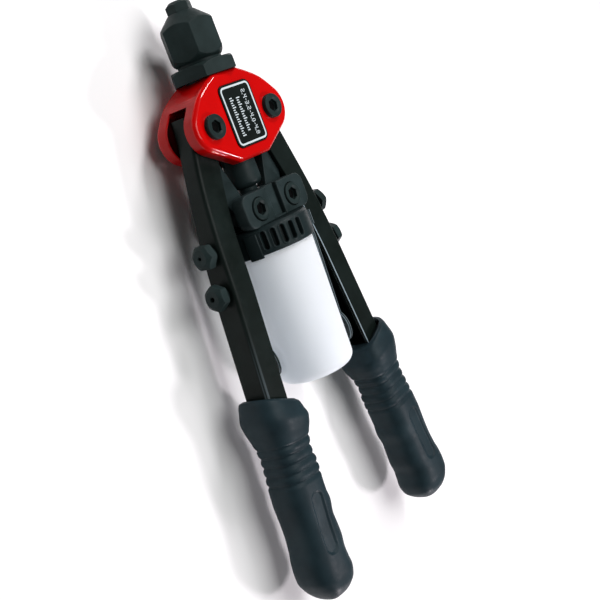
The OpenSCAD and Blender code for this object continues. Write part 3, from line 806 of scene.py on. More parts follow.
@dataclass
class Head(Assembly):
    """The red casting with its label plate and pivot screws.

    The bore's outline holds radius and y of the tool that cuts the guide bore and the thread hole.
    It stands turned by `bore_turn` degrees, so that none of its edges lies in a flat face.
    """

    half: float = 14.2
    slot: float = 6.2
    roof: float = 13.6
    top: float = 24.4
    bottom: float = -20.7
    lobe: float = 12.7
    edge: float = 2.0
    gentle_span: tuple[float, float] = (37.0, 25.0)
    bends: tuple[float, float] = (2.9, 0.8)
    inner_edge: float = 0.8
    # painted shade on the casting's side walls
    side_shade: float = 0.3
    bore: Pairs = ((0.0, -60.0), (8.7, -60.0), (8.7, 15.0), (11.0, 15.0), (11.0, 45.0), (0.0, 45.0))
    bore_turn: float = 1.13
    recess: float = 0.6
    label_size: tuple[float, float] = (24.0, 32.0)
    label_at: tuple[float, float] = (1.0, 1.4)
    label_corner: float = 3.6
    label_thick: float = 1.15

    def outline(self, count: int = 480) -> np.ndarray:
        """The outline of a cheek, evenly spaced and slightly smoothed.

        Arcs about the pivots join the slanted and bulging sides; a short running mean rounds the
        corners between them.

        Args:
            count: points round.

        Returns:
            Points of x and y, anticlockwise.
        """
        a = np.radians(np.linspace(-61.4, 44, 24))
        arc = np.stack([PIVOT_X + self.lobe * np.cos(a), self.lobe * np.sin(a)], -1)
        crown = [(27.4, 13.9), (24.2, 16.7), (20.2, 19.2), (15, 21.9), (9.4, self.top), (0, self.top)]
        half = np.concatenate([[(0, self.bottom), (11.4, self.bottom)], arc, crown])
        pts = even_loop(np.concatenate([half, (half * [-1, 1])[-2:0:-1]]), count)
        for _ in range(3):
            pts = (np.roll(pts, 1, 0) + 2 * pts + np.roll(pts, -1, 0)) / 4
        return pts

    def plate_loop(self, like: np.ndarray, grow: float) -> np.ndarray:
        """The rounded rectangle of the label, read in the direction of each outline point.

        In each direction the radius is that of the rectangle, or of the circle that cuts its
        corner where the direction meets one.

        Args:
            like: points whose directions from the label's centre are used.
            grow: how far the loop stands outside the plate.

        Returns:
            The loop, one point for each point of `like`.
        """
        c = np.array(self.label_at)
        d = like - c
        d /= np.hypot(d[:, 0], d[:, 1])[:, None]
        w, h = self.label_size[0] / 2 + grow, self.label_size[1] / 2 + grow
        r = self.label_corner + grow
        q = abs(d)
        reach = np.minimum(w / np.maximum(q[:, 0], 1e-9), h / np.maximum(q[:, 1], 1e-9))
        corner = np.array([w - r, h - r])
        along = q @ corner
        cut = along + np.sqrt(np.maximum(r * r - (corner @ corner - along**2), 0))
        in_corner = (q * reach[:, None] > corner).all(axis=1)
        return c + d * np.where(in_corner, cut, reach)[:, None]

    def cheek(self, shell: Shell, face: int) -> None:
        """Adds one cheek from the slot to the outer face.

        Rings climb from the slot face round the inner edge, up the side wall, over an outer bevel that
        bends tightly at both of its own edges and gently between them, and in across the face; they
        then step down into the label recess.  The bevel is the running sum of short steps whose
        length is the radius of bend and whose direction turns by 90 degrees.  The slot face gets
        painted shade below the slot roof, and the inner edge, the side wall and the foot of the bevel
        a lighter painted shade.

        Args:
            shell: where the surface goes.
            face: 1 for the labelled cheek, -1 for the rear one, which has no recess.
        """
        base = self.outline()
        free = smooth_step((self.roof + 1.0 - base[:, 1]) / 3.0)
        rings = []
        for q in quarter_turn(9)[::-1]:
            inner = self.inner_edge * (1 - np.cos(q)) * free
            rings.append((inset_loop(base, inner, 6), self.slot + self.inner_edge * (1 - np.sin(q)) * free))
        tilt = quarter_turn(25)
        middle, span = self.gentle_span
        bend = np.where(np.abs(np.degrees(tilt) - middle) < span, *self.bends)
        step = bend * np.stack([np.sin(tilt), np.cos(tilt)])
        run = np.cumsum(0.5 * step[:, 1:] + 0.5 * step[:, :-1], axis=1)
        run = np.concatenate([np.zeros((2, 1)), run], axis=1)
        for depth, climb in (run / run[:, -1:]).T:
            rings.append((inset_loop(base, self.edge * depth, 6), self.half - self.edge * (1 - climb)))
        if face > 0:
            last = rings[-1][0]
            rim = self.plate_loop(last, 0.5)
            rings += [(last + (rim - last) * share, self.half) for share in (0.35, 0.7)]
            for grow, drop in ((0.5, 0.0), (0.22, 0.12), (0.15, 0.35), (0.15, self.recess)):
                rings.append((self.plate_loop(last, grow), self.half - drop))
        # painted shade: dark on the slot face, lighter on the inner edge, side wall and foot of the bevel
        shade = np.zeros((len(rings), len(base)))
        shade[0] = free
        shade[1:11] = self.side_shade
        shell.loft(layers(rings) * [1, 1, face], shade=shade)

    def block(self, shell: Shell) -> None:
        """Adds the part of the casting that joins the cheeks above the slot roof.

        Args:
            shell: where the surface goes.
        """
        pts = self.outline()
        above = pts[pts[:, 1] >= self.roof]
        loop = above[np.argsort(-np.arctan2(above[:, 1] - self.roof, above[:, 0]))]
        left = np.array([[np.interp(self.roof, loop[:8, 1], loop[:8, 0]), self.roof]])
        loop = np.concatenate([left, loop, left * [-1, 1]])
        # painted shade: the slot roof fully dark, the block's sides lighter
        bare = np.full(len(loop), self.side_shade)
        bare[[0, -1]] = 1.0
        shell.loft(layers([(loop, z) for z in np.linspace(-self.slot, self.slot, 5)]), shade=bare)

    def bored(self, obj: bpy.types.Object) -> bpy.types.Object:
        """Cuts the guide bore and the hole of the nose thread through the casting.

        Args:
            obj: the casting.

        Returns:
            The same casting with its new mesh.
        """
        shell = Shell().revolve(np.array(self.bore), caps=True)
        # painted shade on the bore walls that the cutter leaves
        shell.shades = [np.ones_like(v) for v in shell.shades]
        cutter = shell.piece("bore_cutter")
        cutter.data.transform(Matrix.Rotation(math.radians(self.bore_turn), 4, "Y"))
        cut = obj.modifiers.new("bore", "BOOLEAN")
        cut.operation = "DIFFERENCE"
        cut.solver = "EXACT"
        cut.use_self = True
        cut.object = cutter
        graph = bpy.context.evaluated_depsgraph_get()
        mesh = bpy.data.meshes.new_from_object(obj.evaluated_get(graph), depsgraph=graph)
        obj.modifiers.clear()
        plain, obj.data = obj.data, mesh
        name = plain.name
        bpy.data.meshes.remove(plain)
        mesh.name = name
        bpy.data.meshes.remove(cutter.data)
        mesh.set_sharp_from_angle(angle=math.radians(30.0))
        return obj

    def build(self) -> None:
        """Makes the casting, the label and the pivot screws."""
        shell = Shell()
        self.cheek(shell, 1)
        self.cheek(shell, -1)
        self.block(shell)
        self.kit.seat(self.bored(shell.piece("head_casting", 30.0)), "head_group", "red_paint", "head")
        self.label()
        for side in Side:
            screw = SocketScrew(self.kit, 6.25, 2.6, 34.0, (side.value * PIVOT_X, 0.0, self.half), 16.0)
            screw.build(f"pivot_screw_{side.word}", "head_group", *side.shared("pivot_screws"))

    def label(self) -> None:
        """Makes the label plate, its pale border and its plain marks, each a loft of plate outlines."""
        a = full_turn(240)
        way = np.stack([np.cos(a) * 40, np.sin(a) * 40], -1) + self.label_at
        low = self.half - self.recess
        top = low + self.label_thick
        rows = [(0.0, low), (0.0, top - 0.2), (-0.06, top - 0.06), (-0.2, top)]
        plate = Shell().loft(layers([(self.plate_loop(way, grow), z) for grow, z in rows]))
        self.kit.seat(plate.piece("label_base"), "head_group", "label", "label_plate")
        face = top - 0.01
        rows = [(-0.95, 0.0), (-0.95, 0.05), (-1.0, 0.07), (-1.85, 0.07), (-1.9, 0.05), (-1.9, 0.0),
                (-0.95, 0.0)]
        border = Shell().loft(layers([(self.plate_loop(way, grow), face + up) for grow, up in rows]), False)
        self.kit.seat(border.piece("label_border"), "head_group", "label_mark")
        self.marks(face)

    def marks(self, face: float) -> None:
        """Prints a row of plain size numbers and two rows of plain ticks, read down the plate.

        Every stroke is a thin box; digits are made of the seven strokes of a counter display.  A bar
        holds its start and foot and its end and head, along and up the line of writing.

        Args:
            face: height of the plate's face.
        """
        bars: list[tuple[float, float, float, float]] = []
        w, h, t = 1.55, 2.9, 0.42
        strokes = {"a": (0, h - t, w, h), "b": (w - t, h / 2, w, h), "c": (w - t, 0, w, h / 2),
                   "d": (0, 0, w, t), "e": (0, 0, t, h / 2), "f": (0, h / 2, t, h),
                   "g": (0, h / 2 - t / 2, w, h / 2 + t / 2)}
        digits = {"0": "abcdef", "2": "abged", "3": "abgcd", "4": "fgbc", "8": "abcdefg"}
        at, foot = -11.5, 4.0
        for sign in "2.4-3.2-4.0-4.8":
            if sign in digits:
                bars += [(at + strokes[k][0], foot + strokes[k][1], at + strokes[k][2], foot + strokes[k][3])
                         for k in digits[sign]]
                at += w + 0.54
            elif sign == ".":
                bars.append((at - 0.1, foot, at + 0.4, foot + 0.5))
                at += 0.75
            else:
                bars.append((at + 0.1, 5.2, at + 0.95, 5.6))
                at += 1.45
        for row, start, count in ((-1.3, -8.5, 15), (-6.3, -9.1, 17)):
            for k in range(count):
                tall = (2.6, 1.5, 1.9)[(k * 7 + count) % 3]
                bars.append((start + 1.2 * k, row, start + 1.2 * k + 0.55, row + tall))
        cx, cy = self.label_at
        shell = Shell()
        for u0, v0, u1, v1 in bars:
            box = np.array([(v0, -u0), (v1, -u0), (v1, -u1), (v0, -u1)]) + (cx - 0.3, cy)
            shell.loft(layers([(box, face), (box, face + 0.05)]))
        self.kit.seat(shell.piece("label_marks"), "head_group", "label_mark")


# ---- nose


def nosepiece(neck: float, bore: float, turn: float, flats: float = 11.8) -> np.ndarray:
    """Rings of a nosepiece whose seat is at y = 0: stem, thread, hexagon, dome, mouth and bore.

    The radius is that of the turned outline, and above the neck the lesser of it and the hexagon's.

    Args:
        neck: height of the threaded neck under the hexagon.
        bore: radius of the bore.
        turn: direction of one corner in degrees.
        flats: width across flats.

    Returns:
        Rings that end on the first one.
    """
    stem, foot, wide, top, step = 4.4, -2.4, 7.0, neck + 5.8, 0.25
    k = np.arange(int(neck / step))
    thread = np.stack([stem - 0.35 * np.isin(k % 4, (1, 2)), step * k], -1)
    rows = [(stem, foot), (stem, 0.0), *map(tuple, thread), (stem, neck), (6.5, neck), (wide, neck + 0.5),
            (wide, neck + 3.7), (4.2, top), (bore + 0.3, top), (bore, top - 0.3), (bore, foot), (stem, foot)]
    r, y = np.hsplit(polyline(rows, 0.3), 2)
    a = full_turn(192)
    cut = (y >= neck) & (r > stem)
    return round_bore(np.where(cut, soft_min(r, hexagon(a, flats, turn)[None]), r), y, a)


@dataclass
class Nose(Assembly):
    """Nose housing, lock nut and fitted nosepiece on the bore line."""

    housing_flats: float = 26.1
    nut_flats: float = 32.0
    seat: float = 58.6
    foot: float = 15.1
    throat: float = 54.0
    guide: float = 8.7
    thread: float = 11.0
    tip_thread: float = 4.4

    def hexed(self, outline: np.ndarray, flats: float, turn: float, bore: Pairs) -> Shell:
        """A hexagonal bar cut by a turned profile.

        In each direction the radius is the lesser of the hexagon's and the profile's.  The last rings
        run down the bore and end on the first ring, so the bar is hollow from end to end.

        Args:
            outline: radius and y of the turned outline, from low to high.
            flats: width across flats.
            turn: direction of one corner in degrees.
            bore: round rings after the outline, as radius and y.

        Returns:
            A shell with the surface.
        """
        a = full_turn(288)
        inside = np.array(bore)
        r = soft_min(outline[:, :1], hexagon(a, flats, turn)[None])
        r = np.concatenate([r, np.repeat(inside[:, :1], len(a), axis=1)])
        return Shell().loft(round_bore(r, np.concatenate([outline[:, 1:], inside[:, 1:]]), a), False)

    def build(self) -> None:
        """Makes the three pieces."""
        foot, throat = self.foot, self.throat
        outline = polyline([(self.thread, foot), (self.thread, 31.6), (11.6, 31.7), (11.6, 33.3),
                            (12.2, 33.5), (15.4, 37.2), (15.4, 50.9), (7.4, 58.3), (7.0, self.seat)], 0.35)
        bore = [(self.tip_thread, self.seat), (self.tip_thread, throat), (self.guide, throat),
                (self.guide, foot), (self.thread, foot)]
        housing = self.hexed(outline, self.housing_flats, 10.6, bore).piece("nose_housing_body", 26.0)
        self.kit.seat(housing, "head_group", "black_oxide", "nose_housing")
        outline = polyline([(11.05, 24.4), (18.6, 24.4), (19.2, 24.9), (19.2, 29.4), (16.0, 31.6)], 0.3)
        nut = self.hexed(outline, self.nut_flats, 14.3, [(11.05, 31.6), (11.05, 24.4)])
        self.kit.seat(nut.piece("lock_nut_body", 26.0), "head_group", "black_oxide", "lock_nut")
        tip = Shell().loft(nosepiece(0.0, 1.5, 33.6) + (0.0, self.seat, 0.0), False)
        self.kit.seat(tip.piece("nosepiece_body", 28.0), "head_group", "black_oxide", "nosepiece")


@dataclass
class JawSpring(Assembly):
    """The coil spring between the pull rod and the jaw pusher."""

    low: float = 14.0
    length: float = 10.0
    radius: float = 5.55
    wire: float = 0.56
    turns: int = 5
    hold: float = 1.2

    def build(self) -> None:
        """Sweeps a round wire along a helix whose end turns lie closer together.
        """
        t = np.linspace(0, self.turns, 48 * self.turns + 1)
        w = self.wire
        knots = [0, 1, self.turns - 1, self.turns]
        climb = np.interp(t, knots, [0, 2.3 * w, self.length - 4.3 * w, self.length - 2 * w])
        a = full_turn(16)
        y = self.low + w + climb[:, None] + w * np.sin(a)
        rings = round_bore(self.radius + w * np.cos(a), y, 2 * math.pi * t[:, None])
        obj = Shell().loft(rings).piece("jaw_spring_coil", 60.0)
        self.kit.paint.dress(obj, "bright_steel")
        high = self.low + self.length
        ends = to_frame(np.array([[0.0, self.low + self.hold, 0.0], [0.0, high - self.hold, 0.0]]))
        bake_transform(obj)
        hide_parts("jaw_spring")


# ---- levers


@dataclass
class Lever(Assembly):
    """One arm with its rubber grip and its two spare nosepieces.

    Curves are pairs of distance down the arm and value: the web's and the flange edge's distance
    outboard, the channel's half width, and the grip's outer, inner and front half sizes and slant.
    """

    side: Side
    trim: float = 0.0
    sheet: float = 2.5
    bend: float = 2.4
    length: float = 206.0
    crown: float = 8.65
    spares: tuple[float, float] = (58.9, 79.6)
    spare_bores: tuple[float, float] = (0.9, 1.25)
    spare_turns: tuple[float, float] = (33.6, 55.0)
    spare_neck: float = 4.1
    spare_out: float = 11.8
    slip: float = 3.2
    mouth: float = 133.5
    mouth_axis: float = 6.1
    grip_axis: float = 5.4
    grooves: int = 5
    groove_at: float = 159.5
    groove_step: float = 4.9
    groove_width: float = 0.75
    groove_depth: float = 0.8
    hollow_at: float = 203.0
    hollow_half: float = 12.5
    hollow_r: float = 4.1
    web: Pairs = ((-8.6, 8.3), (0, 8.5), (20, 11.1), (40, 12.9), (57, 13.6), (206, 13.6))
    flange: Pairs = ((0, -8.3), (18, -5.0), (57, -0.6), (206, -0.6))
    width: Pairs = ((-8, 5.86), (18, 5.86), (57, 7.1), (85, 8.0))
    outer: Pairs = (
        (133.5, 11.6), (134.6, 13.6), (139.5, 15.2), (145, 16.2), (151, 15.2), (158, 12.9), (166, 11.8),
        (173, 11.9), (178, 12.2), (183, 12.4), (189, 12.5), (195, 12), (202, 11.3), (208, 10.9), (214, 11.3),
        (221, 12.6), (226, 12.9), (231, 12.4), (236, 10.2), (240.5, 7), (243.6, 3.4), (244.6, 1.2))
    inner: Pairs = (
        (133.5, 12.2), (134.6, 13.6), (139.5, 15.2), (145, 16.2), (151, 15.6), (158, 13.8), (166, 12.7),
        (173, 13.9), (178, 14.0), (183, 13.5), (189, 13.7), (195, 15), (202, 14.0), (208, 14.8), (214, 15.3),
        (221, 14.3), (226, 14.9), (231, 15.9), (236, 15.2), (240.5, 12.2), (243.6, 7.8), (244.6, 3))
    front: Pairs = (
        (133.5, 11.6), (134.6, 13.2), (139.5, 14.4), (145, 15.4), (151, 14.6), (158, 12.9), (166, 12),
        (173, 12.3), (189, 12.4), (202, 12.1), (214, 12.4), (226, 12.8), (231, 12.8), (236, 12), (240.5, 9.6),
        (243.6, 5.6), (244.6, 2))
    slant: Pairs = ((133.5, 0.32), (134.6, 0.32), (139.5, 0.25), (145, 0.15), (151, 0.05), (158, 0))

    def build(self) -> None:
        """Makes the arm, the grip and the spare nosepieces."""
        body = f"{self.side.word}_lever"
        self.kit.seat(self.arm(), body, "black_paint", f"arm_{self.side.word}")
        self.kit.seat(self.grip(), body, "grip_rubber", f"grip_{self.side.word}")
        self.spare_set(body)

    def section(self) -> np.ndarray:
        """The channel section as weights on the flange edge, the web and the half width.

        The loop runs along the front flange, round both outer bends, back along the rear flange and
        inside again.

        Returns:
            Rows of a, b, c, d, e of x = a flange + b web + c and z = d half + e.
        """
        t, r, i = self.sheet, self.bend, 0.6
        e, fine = 0.5, 0.28
        q = quarter_turn(7)
        rows = [(1, 0, fine, 1, 0), (1, 0, fine + 0.08, 1, 0), (0.5, 0.5, 0, 1, 0)]
        rows += [(0, 1, -r + r * math.sin(v), 1, -r + r * math.cos(v)) for v in q]
        rows += [(0, 1, -r + r * math.cos(v), -1, r - r * math.sin(v)) for v in q]
        rows += [(0.5, 0.5, 0, -1, 0), (1, 0, e, -1, 0), (1, 0, 0, -1, e), (1, 0, 0, -1, t - e),
                 (1, 0, e, -1, t), (0.5, 0.5, -t / 2, -1, t)]
        rows += [(0, 1, -t - i + i * math.sin(v), -1, t + i - i * math.cos(v)) for v in q[::2]]
        rows += [(0, 1, -t - i + i * math.cos(v), 1, -t - i + i * math.sin(v)) for v in q[::2]]
        rows += [(0.5, 0.5, -t / 2, 1, -t), (1, 0, e, 1, -t), (1, 0, 0, 1, -t + e),
                 (1, 0, 0, 1, -fine - 0.08), (1, 0, 0, 1, -fine)]
        return np.array(rows, dtype=float)

    def arm(self) -> bpy.types.Object:
        """Sweeps the channel section down the arm.

        A highlight is painted along the front flange edge of the right arm and, more weakly, along
        the outer bend of the left one; both grow down the arm by a smooth step.  Above the pivot the
        flange edge follows a circle about it.

        Returns:
            The arm.
        """
        down = np.concatenate([np.linspace(self.web[0][0], 0, 12), np.linspace(1, 57, 40),
                               np.linspace(58, self.length, 60)])
        web, flange, half = (soft_curve(down, k) for k in (self.web, self.flange, self.width))
        flange = np.where(down < 0, -np.sqrt(np.maximum(self.crown**2 - down**2, 0.0)), flange)
        s = self.section()
        x = s[:, 0] * flange[:, None] + s[:, 1] * web[:, None] + s[:, 2]
        z = s[:, 3] * half[:, None] + s[:, 4]
        rings = on_arm(self.side, down[:, None], x, z)
        # painted highlight along the right arm's flange edge and the left arm's outer bend
        worn = np.zeros((len(down), len(s)))
        if self.side is Side.RIGHT:
            worn[:, [0, -1]] = -smooth_step((down - 40.0) / 25.0)[:, None]
        else:
            worn[:, [4, 5, 7]] = -0.3 * smooth_step((down - 90.0) / 90.0)[:, None]
        shell = Shell().loft(rings, False, worn)
        for ring in (rings[0], rings[-1]):
            shell.add(ring, np.zeros(len(ring)), np.arange(len(ring))[None])
        return shell.piece(f"arm_{self.side.word}_channel", 30.0)

    def grip(self) -> bpy.types.Object:
        """Sweeps the grip's section down the arm.

        The section is a superellipse whose outer, inner and front half sizes follow smooth curves,
        fuller at the inner corners; finger swells ride on the inner side, the axis leans in a little
        towards the butt, shallow grooves cross the shoulder, an oval hollow is sunk in both faces,
        and the mouth turns in round the arm.

        Returns:
            The grip.
        """
        down = np.concatenate([np.linspace(self.mouth, 186, 211), np.linspace(186.25, 222, 144),
                               np.linspace(222.25, 244.6, 90)])
        d = down[:, None]
        a = full_turn(192)
        power = np.where(np.cos(a) > 0, 0.77, 0.7)
        u = np.sign(np.cos(a)) * np.abs(np.cos(a)) ** power
        w = np.sign(np.sin(a)) * np.abs(np.sin(a)) ** power
        o, i, f = (soft_curve(down, k)[:, None] for k in (self.outer, self.inner, self.front))
        o = o + 0.9 * (smooth_step((d - 150.0) / 10.0) * (1 - smooth_step((d - 230.0) / 12.0)))
        x = u * np.where(u > 0, o, i)
        z = w * f
        cut = self.groove_depth * sum(bump_at(d, self.groove_at + self.groove_step * k, self.groove_width)
                                      for k in range(self.grooves))
        along = np.maximum(np.abs(d - self.hollow_at) - self.hollow_half, 0)
        oval = np.sqrt((x / self.hollow_r) ** 2 + (along / self.hollow_r) ** 2)
        sunk = smooth_step((1.12 - oval) / 0.3) * (np.abs(w) > 0.6)
        scale = 1 - cut / np.maximum(np.hypot(x, z), 4.0)
        x = x * scale
        z = z * scale - np.sign(z) * sunk
        slant = np.interp(d, *np.array(self.slant, dtype=float).T)
        slip = self.slip * (1 - smooth_step((d - self.mouth) / 26.0))
        slip = slip - self.trim * smooth_step((d - 212.0) / 32.0)
        axis = self.grip_axis - 0.9 * smooth_step((d - 138.0) / 20.0) - 0.5 * smooth_step((d - 205.0) / 30.0)
        rings = [on_arm(self.side, d + slip - slant * x, axis + x, z)]
        for depth, wide, high in ((0.3, 8.3, 9.7), (1.0, 8.0, 9.3), (5.0, 7.8, 9.0)):
            mx, mz = np.clip(u * 12, -wide, wide), np.clip(w * 12, -high, high)
            inside = self.mouth - 0.1 + self.slip + depth
            rings.insert(0, on_arm(self.side, inside - self.slant[0][1] * mx, self.mouth_axis + mx, mz)[None])
        # painted shade inside the grip's mouth, fading out at its rim
        shade = np.zeros((len(down) + 3, 1))
        shade[:4] = [[1.0], [0.9], [0.6], [0.3]]
        return Shell().loft(np.concatenate(rings), shade=shade).piece(f"grip_{self.side.word}_sleeve", 45.0)

    def spare_set(self, body: str) -> None:
        """Makes the two spare nosepieces that are screwed into the arm's web.

        Args:
            body: body that carries them.
        """
        word = self.side.word
        for n, down in enumerate(self.spares):
            x, y, z = np.moveaxis(nosepiece(self.spare_neck, self.spare_bores[n], self.spare_turns[n]), -1, 0)
            shell = Shell().loft(on_arm(self.side, down - x, self.spare_out + y, z), False)
            nodes = [f"spare_nosepieces_{word}"] if n == 0 else []
            self.kit.seat(shell.piece(f"spare_nosepiece_{word}_{n + 1}", 28.0), body, "black_oxide", *nodes)


# ---- puller


@dataclass
class Puller(Assembly):
    """Crosshead, pull rod, collar and straps, with the two toggle links and their pins."""

    cross: tuple[float, float] = (13.4, -45.4)
    pin_at: tuple[float, float] = (23.66, -17.21)
    pin: Pairs = ((0, -5.8), (2.6, -5.8), (2.95, -5.6), (2.95, 5.6), (2.6, 5.8), (0, 5.8))
    plate_top: float = -36.1
    plate_low: float = -53.7
    plate_back: float = 7.8
    plate_face: float = 15.2
    screw_seat: float = 12.4
    link_length: float = 30.0
    link_half: tuple[float, float] = (6.0, 3.2)
    link_lean: float = 20.0
    collar_r: float = 24.2
    collar_top: float = -53.7
    collar_bottom: float = -67.6
    collar_bore: float = 17.1
    slot_centre: float = 117.0
    slot_step: float = 12.5
    slot_width: float = 2.5
    slot_depth: float = 2.6
    tabs: tuple[float, float] = (158.0, 338.0)
    tab_half: float = 8.6

    def build(self) -> None:
        """Makes the pieces of the puller and the links."""
        kit = self.kit
        for face, word in ((1, "front"), (-1, "rear")):
            plate = self.crosshead(face).piece(f"crosshead_{word}_plate", 30.0)
            kit.seat(plate, "puller", "dark_steel", f"crosshead_{word}")
        for side in Side:
            s, word = side.value, side.word
            at = (s * self.cross[0], self.cross[1], self.screw_seat)
            screw = SocketScrew(kit, 5.85, 3.8, 27.0, at, 20.0, 2.6)
            screw.build(f"crosshead_screw_{word}", "puller", *side.shared("crosshead_screws"))
            bar = self.link(s).piece(f"link_{word}_bar", 30.0)
            kit.seat(bar, f"{word}_link", "dark_steel", f"link_{word}")
            pin = Shell().revolve_z(self.pin, (s * self.pin_at[0], self.pin_at[1]))
            kit.seat(pin.piece(f"link_{word}_pin", 30.0), f"{word}_lever", "black_oxide", f"link_pin_{word}")
        self.rod()
        self.collar()

    def crosshead(self, face: int) -> Shell:
        """One crosshead plate: two lobes, the block between them and the lip under the groove.

        A lobe's rings round its edge and then run in to circles about its screw.

        Args:
            face: 1 for the labelled side, -1 for the rear.

        Returns:
            A shell with the plate.
        """
        shell = Shell()
        top, low, inner, outer = self.plate_top, self.plate_low, self.plate_back, self.plate_face
        centre, seat = np.array(self.cross), self.screw_seat
        loop = rounded_box((4.2, low), (25.0, top), (0.3, 5.0, 5.0, 0.3), 240)
        d = loop - centre
        d /= np.hypot(d[:, 0], d[:, 1])[:, None]
        if face > 0:
            hole = ((6.3, outer), (6.2, outer - 0.12), (6.2, seat), (3.9, seat))
        else:
            hole = ((4.3, outer), (4.1, outer - 0.2), (4.1, 13.0))
        lobe = [(loop, inner), *round_over(loop, 0.8, outer, 6), *((centre + d * r, z) for r, z in hole)]
        boss = np.array([(0.0, 3.4), (6.2, 3.4), (6.2, inner + 0.1), (0.0, inner + 0.1)]) * [1, face]
        for s in (1, -1):
            shell.loft(layers(lobe) * [s, 1, face])
            shell.revolve_z(boss, (s * self.cross[0], self.cross[1]))
        for x, y0, y1, z in ((4.3, low, top, 12.6), (4.3, low, low + 1.2, outer - 0.2),
                             (6.8, low + 0.1, top - 0.1, inner + 0.2)):
            loop = rounded_box((-x, y0), (x, y1), (0.3,) * 4, 80)
            shell.loft(layers([(loop, 0.0), (loop, z - 0.4), (inset_loop(loop, 0.4), z)]) * [1, 1, face])
        return shell

    def link(self, s: int) -> Shell:
        """One toggle link: a bar with round ends and softened edges.

        Args:
            s: 1 for the right link, -1 for the left.

        Returns:
            A shell with the bar.
        """
        r, z = self.link_half
        a = np.radians(np.linspace(0, 180, 40))
        end = np.stack([r * np.cos(a), r * np.sin(a)], -1)
        loop = np.concatenate([end + (0.0, self.link_length), -end])
        lean = math.radians(self.link_lean)
        turn = np.array([[math.cos(lean), -math.sin(lean)], [math.sin(lean), math.cos(lean)]])
        upper = round_over(loop @ turn + self.cross, 0.5, z, 5)
        return Shell().loft(layers([(p, -h) for p, h in upper[::-1]] + upper) * [s, 1, 1])

    def rod(self) -> None:
        """Turns the pull rod with its rounded shoulder and hollow neck."""
        shape = [(2.6, 14.0), (2.6, -53.0), (4.6, -53.0), (4.6, -49.5), (5.65, -49.4), (5.65, -46.6),
                 (4.6, -46.5), (4.6, -34.2), (5.9, -34.1), (7.3, -33.4), (8.2, -32.2), (8.45, -30.6),
                 (8.45, 2.0), (6.4, 2.0), (6.4, 14.0), (2.6, 14.0)]
        rod = Shell().revolve(rounded(shape, 0.6, 4)).piece("pull_rod_body", 34.0)
        self.kit.seat(rod, "puller", "dark_steel", "pull_rod")

    def collar(self) -> None:
        """Makes the collar: a cup whose wall is sunk in two groups of five upright slots.

        The wall's radius is reduced inside each slot by a smooth step of the distance to the slot's
        outline, a rectangle with round ends, and raised a little round it; a flat tab stands beside
        each group.
        """
        r, top, low = self.collar_r, self.collar_top, self.collar_bottom
        wall = rounded([(r - 0.5, low), (r, low + 0.5), (r, top - 1.3), (r - 1.2, top)], 0.6, 5)
        y = np.concatenate([wall[:7, 1], np.linspace(low + 1.4, top - 1.9, 56), wall[-7:, 1]])
        base = np.concatenate([wall[:7, 0], np.full(56, r), wall[-7:, 0]])
        a = full_turn(720)
        mid, half = (low + 2.4 + top - 2.2) / 2, (top - low - 4.6) / 2
        round_end = self.slot_width / 2
        depth = np.zeros((len(y), len(a)))
        for k in range(10):
            at = math.radians(self.slot_centre + (k % 5 - 2) * self.slot_step + 180 * (k // 5))
            dx = r * np.abs(np.angle(np.exp(1j * (a - at))))
            dy = np.maximum(np.abs(y[:, None] - mid) - (half - round_end), 0)
            dist = np.hypot(dx, dy) - round_end
            depth += self.slot_depth * smooth_step((0.12 - dist) / 0.3) - 0.22 * bump_at(dist, 0.5, 0.2)
        b = self.collar_bore
        rim = np.array([(b, top - 3.0), (b, low)])
        roof = np.array([(6.0, top), (6.0, top - 3.0), (b, top - 3.0)])
        plain = [np.repeat(v[:, :1], len(a), axis=1) for v in (rim, roof)]
        radius = np.concatenate([plain[0], base[:, None] - depth, plain[1]])
        height = np.concatenate([rim[:, 1], y, roof[:, 1]])[:, None]
        shell = Shell().loft(round_bore(radius, height, a), False)
        for at in self.tabs:
            self.tab(shell, at)
        self.kit.seat(shell.piece("collar_moulding", 34.0), "puller", "black_plastic", "collar")

    def tab(self, shell: Shell, at: float) -> None:
        """Adds one flat tab to the collar's wall, its reach eased at both ends and at its sides.

        Args:
            shell: where the surface goes.
            at: direction of its middle, in degrees.
        """
        top, low, root = self.collar_top - 2.0, self.collar_bottom - 1.2, 23.2
        across = np.linspace(-1, 1, 15)[:, None]
        b = np.radians(at + np.linspace(-self.tab_half, self.tab_half, 15))[:, None]
        edge = rounded([(root, low), (1.0, low), (1.0, top), (root, top)], 0.5, 4)
        flat = self.collar_r + 0.5 - 0.35 * (np.abs(across) > 0.95)
        ease = np.clip(np.minimum(edge[:, 1] - low, top - edge[:, 1]) / 0.4, 0, 1)
        reach = np.where(edge[:, 0] > 20, root, flat - 0.5 + 0.5 * ease)
        shell.loft(round_bore(reach, edge[:, 1], b))


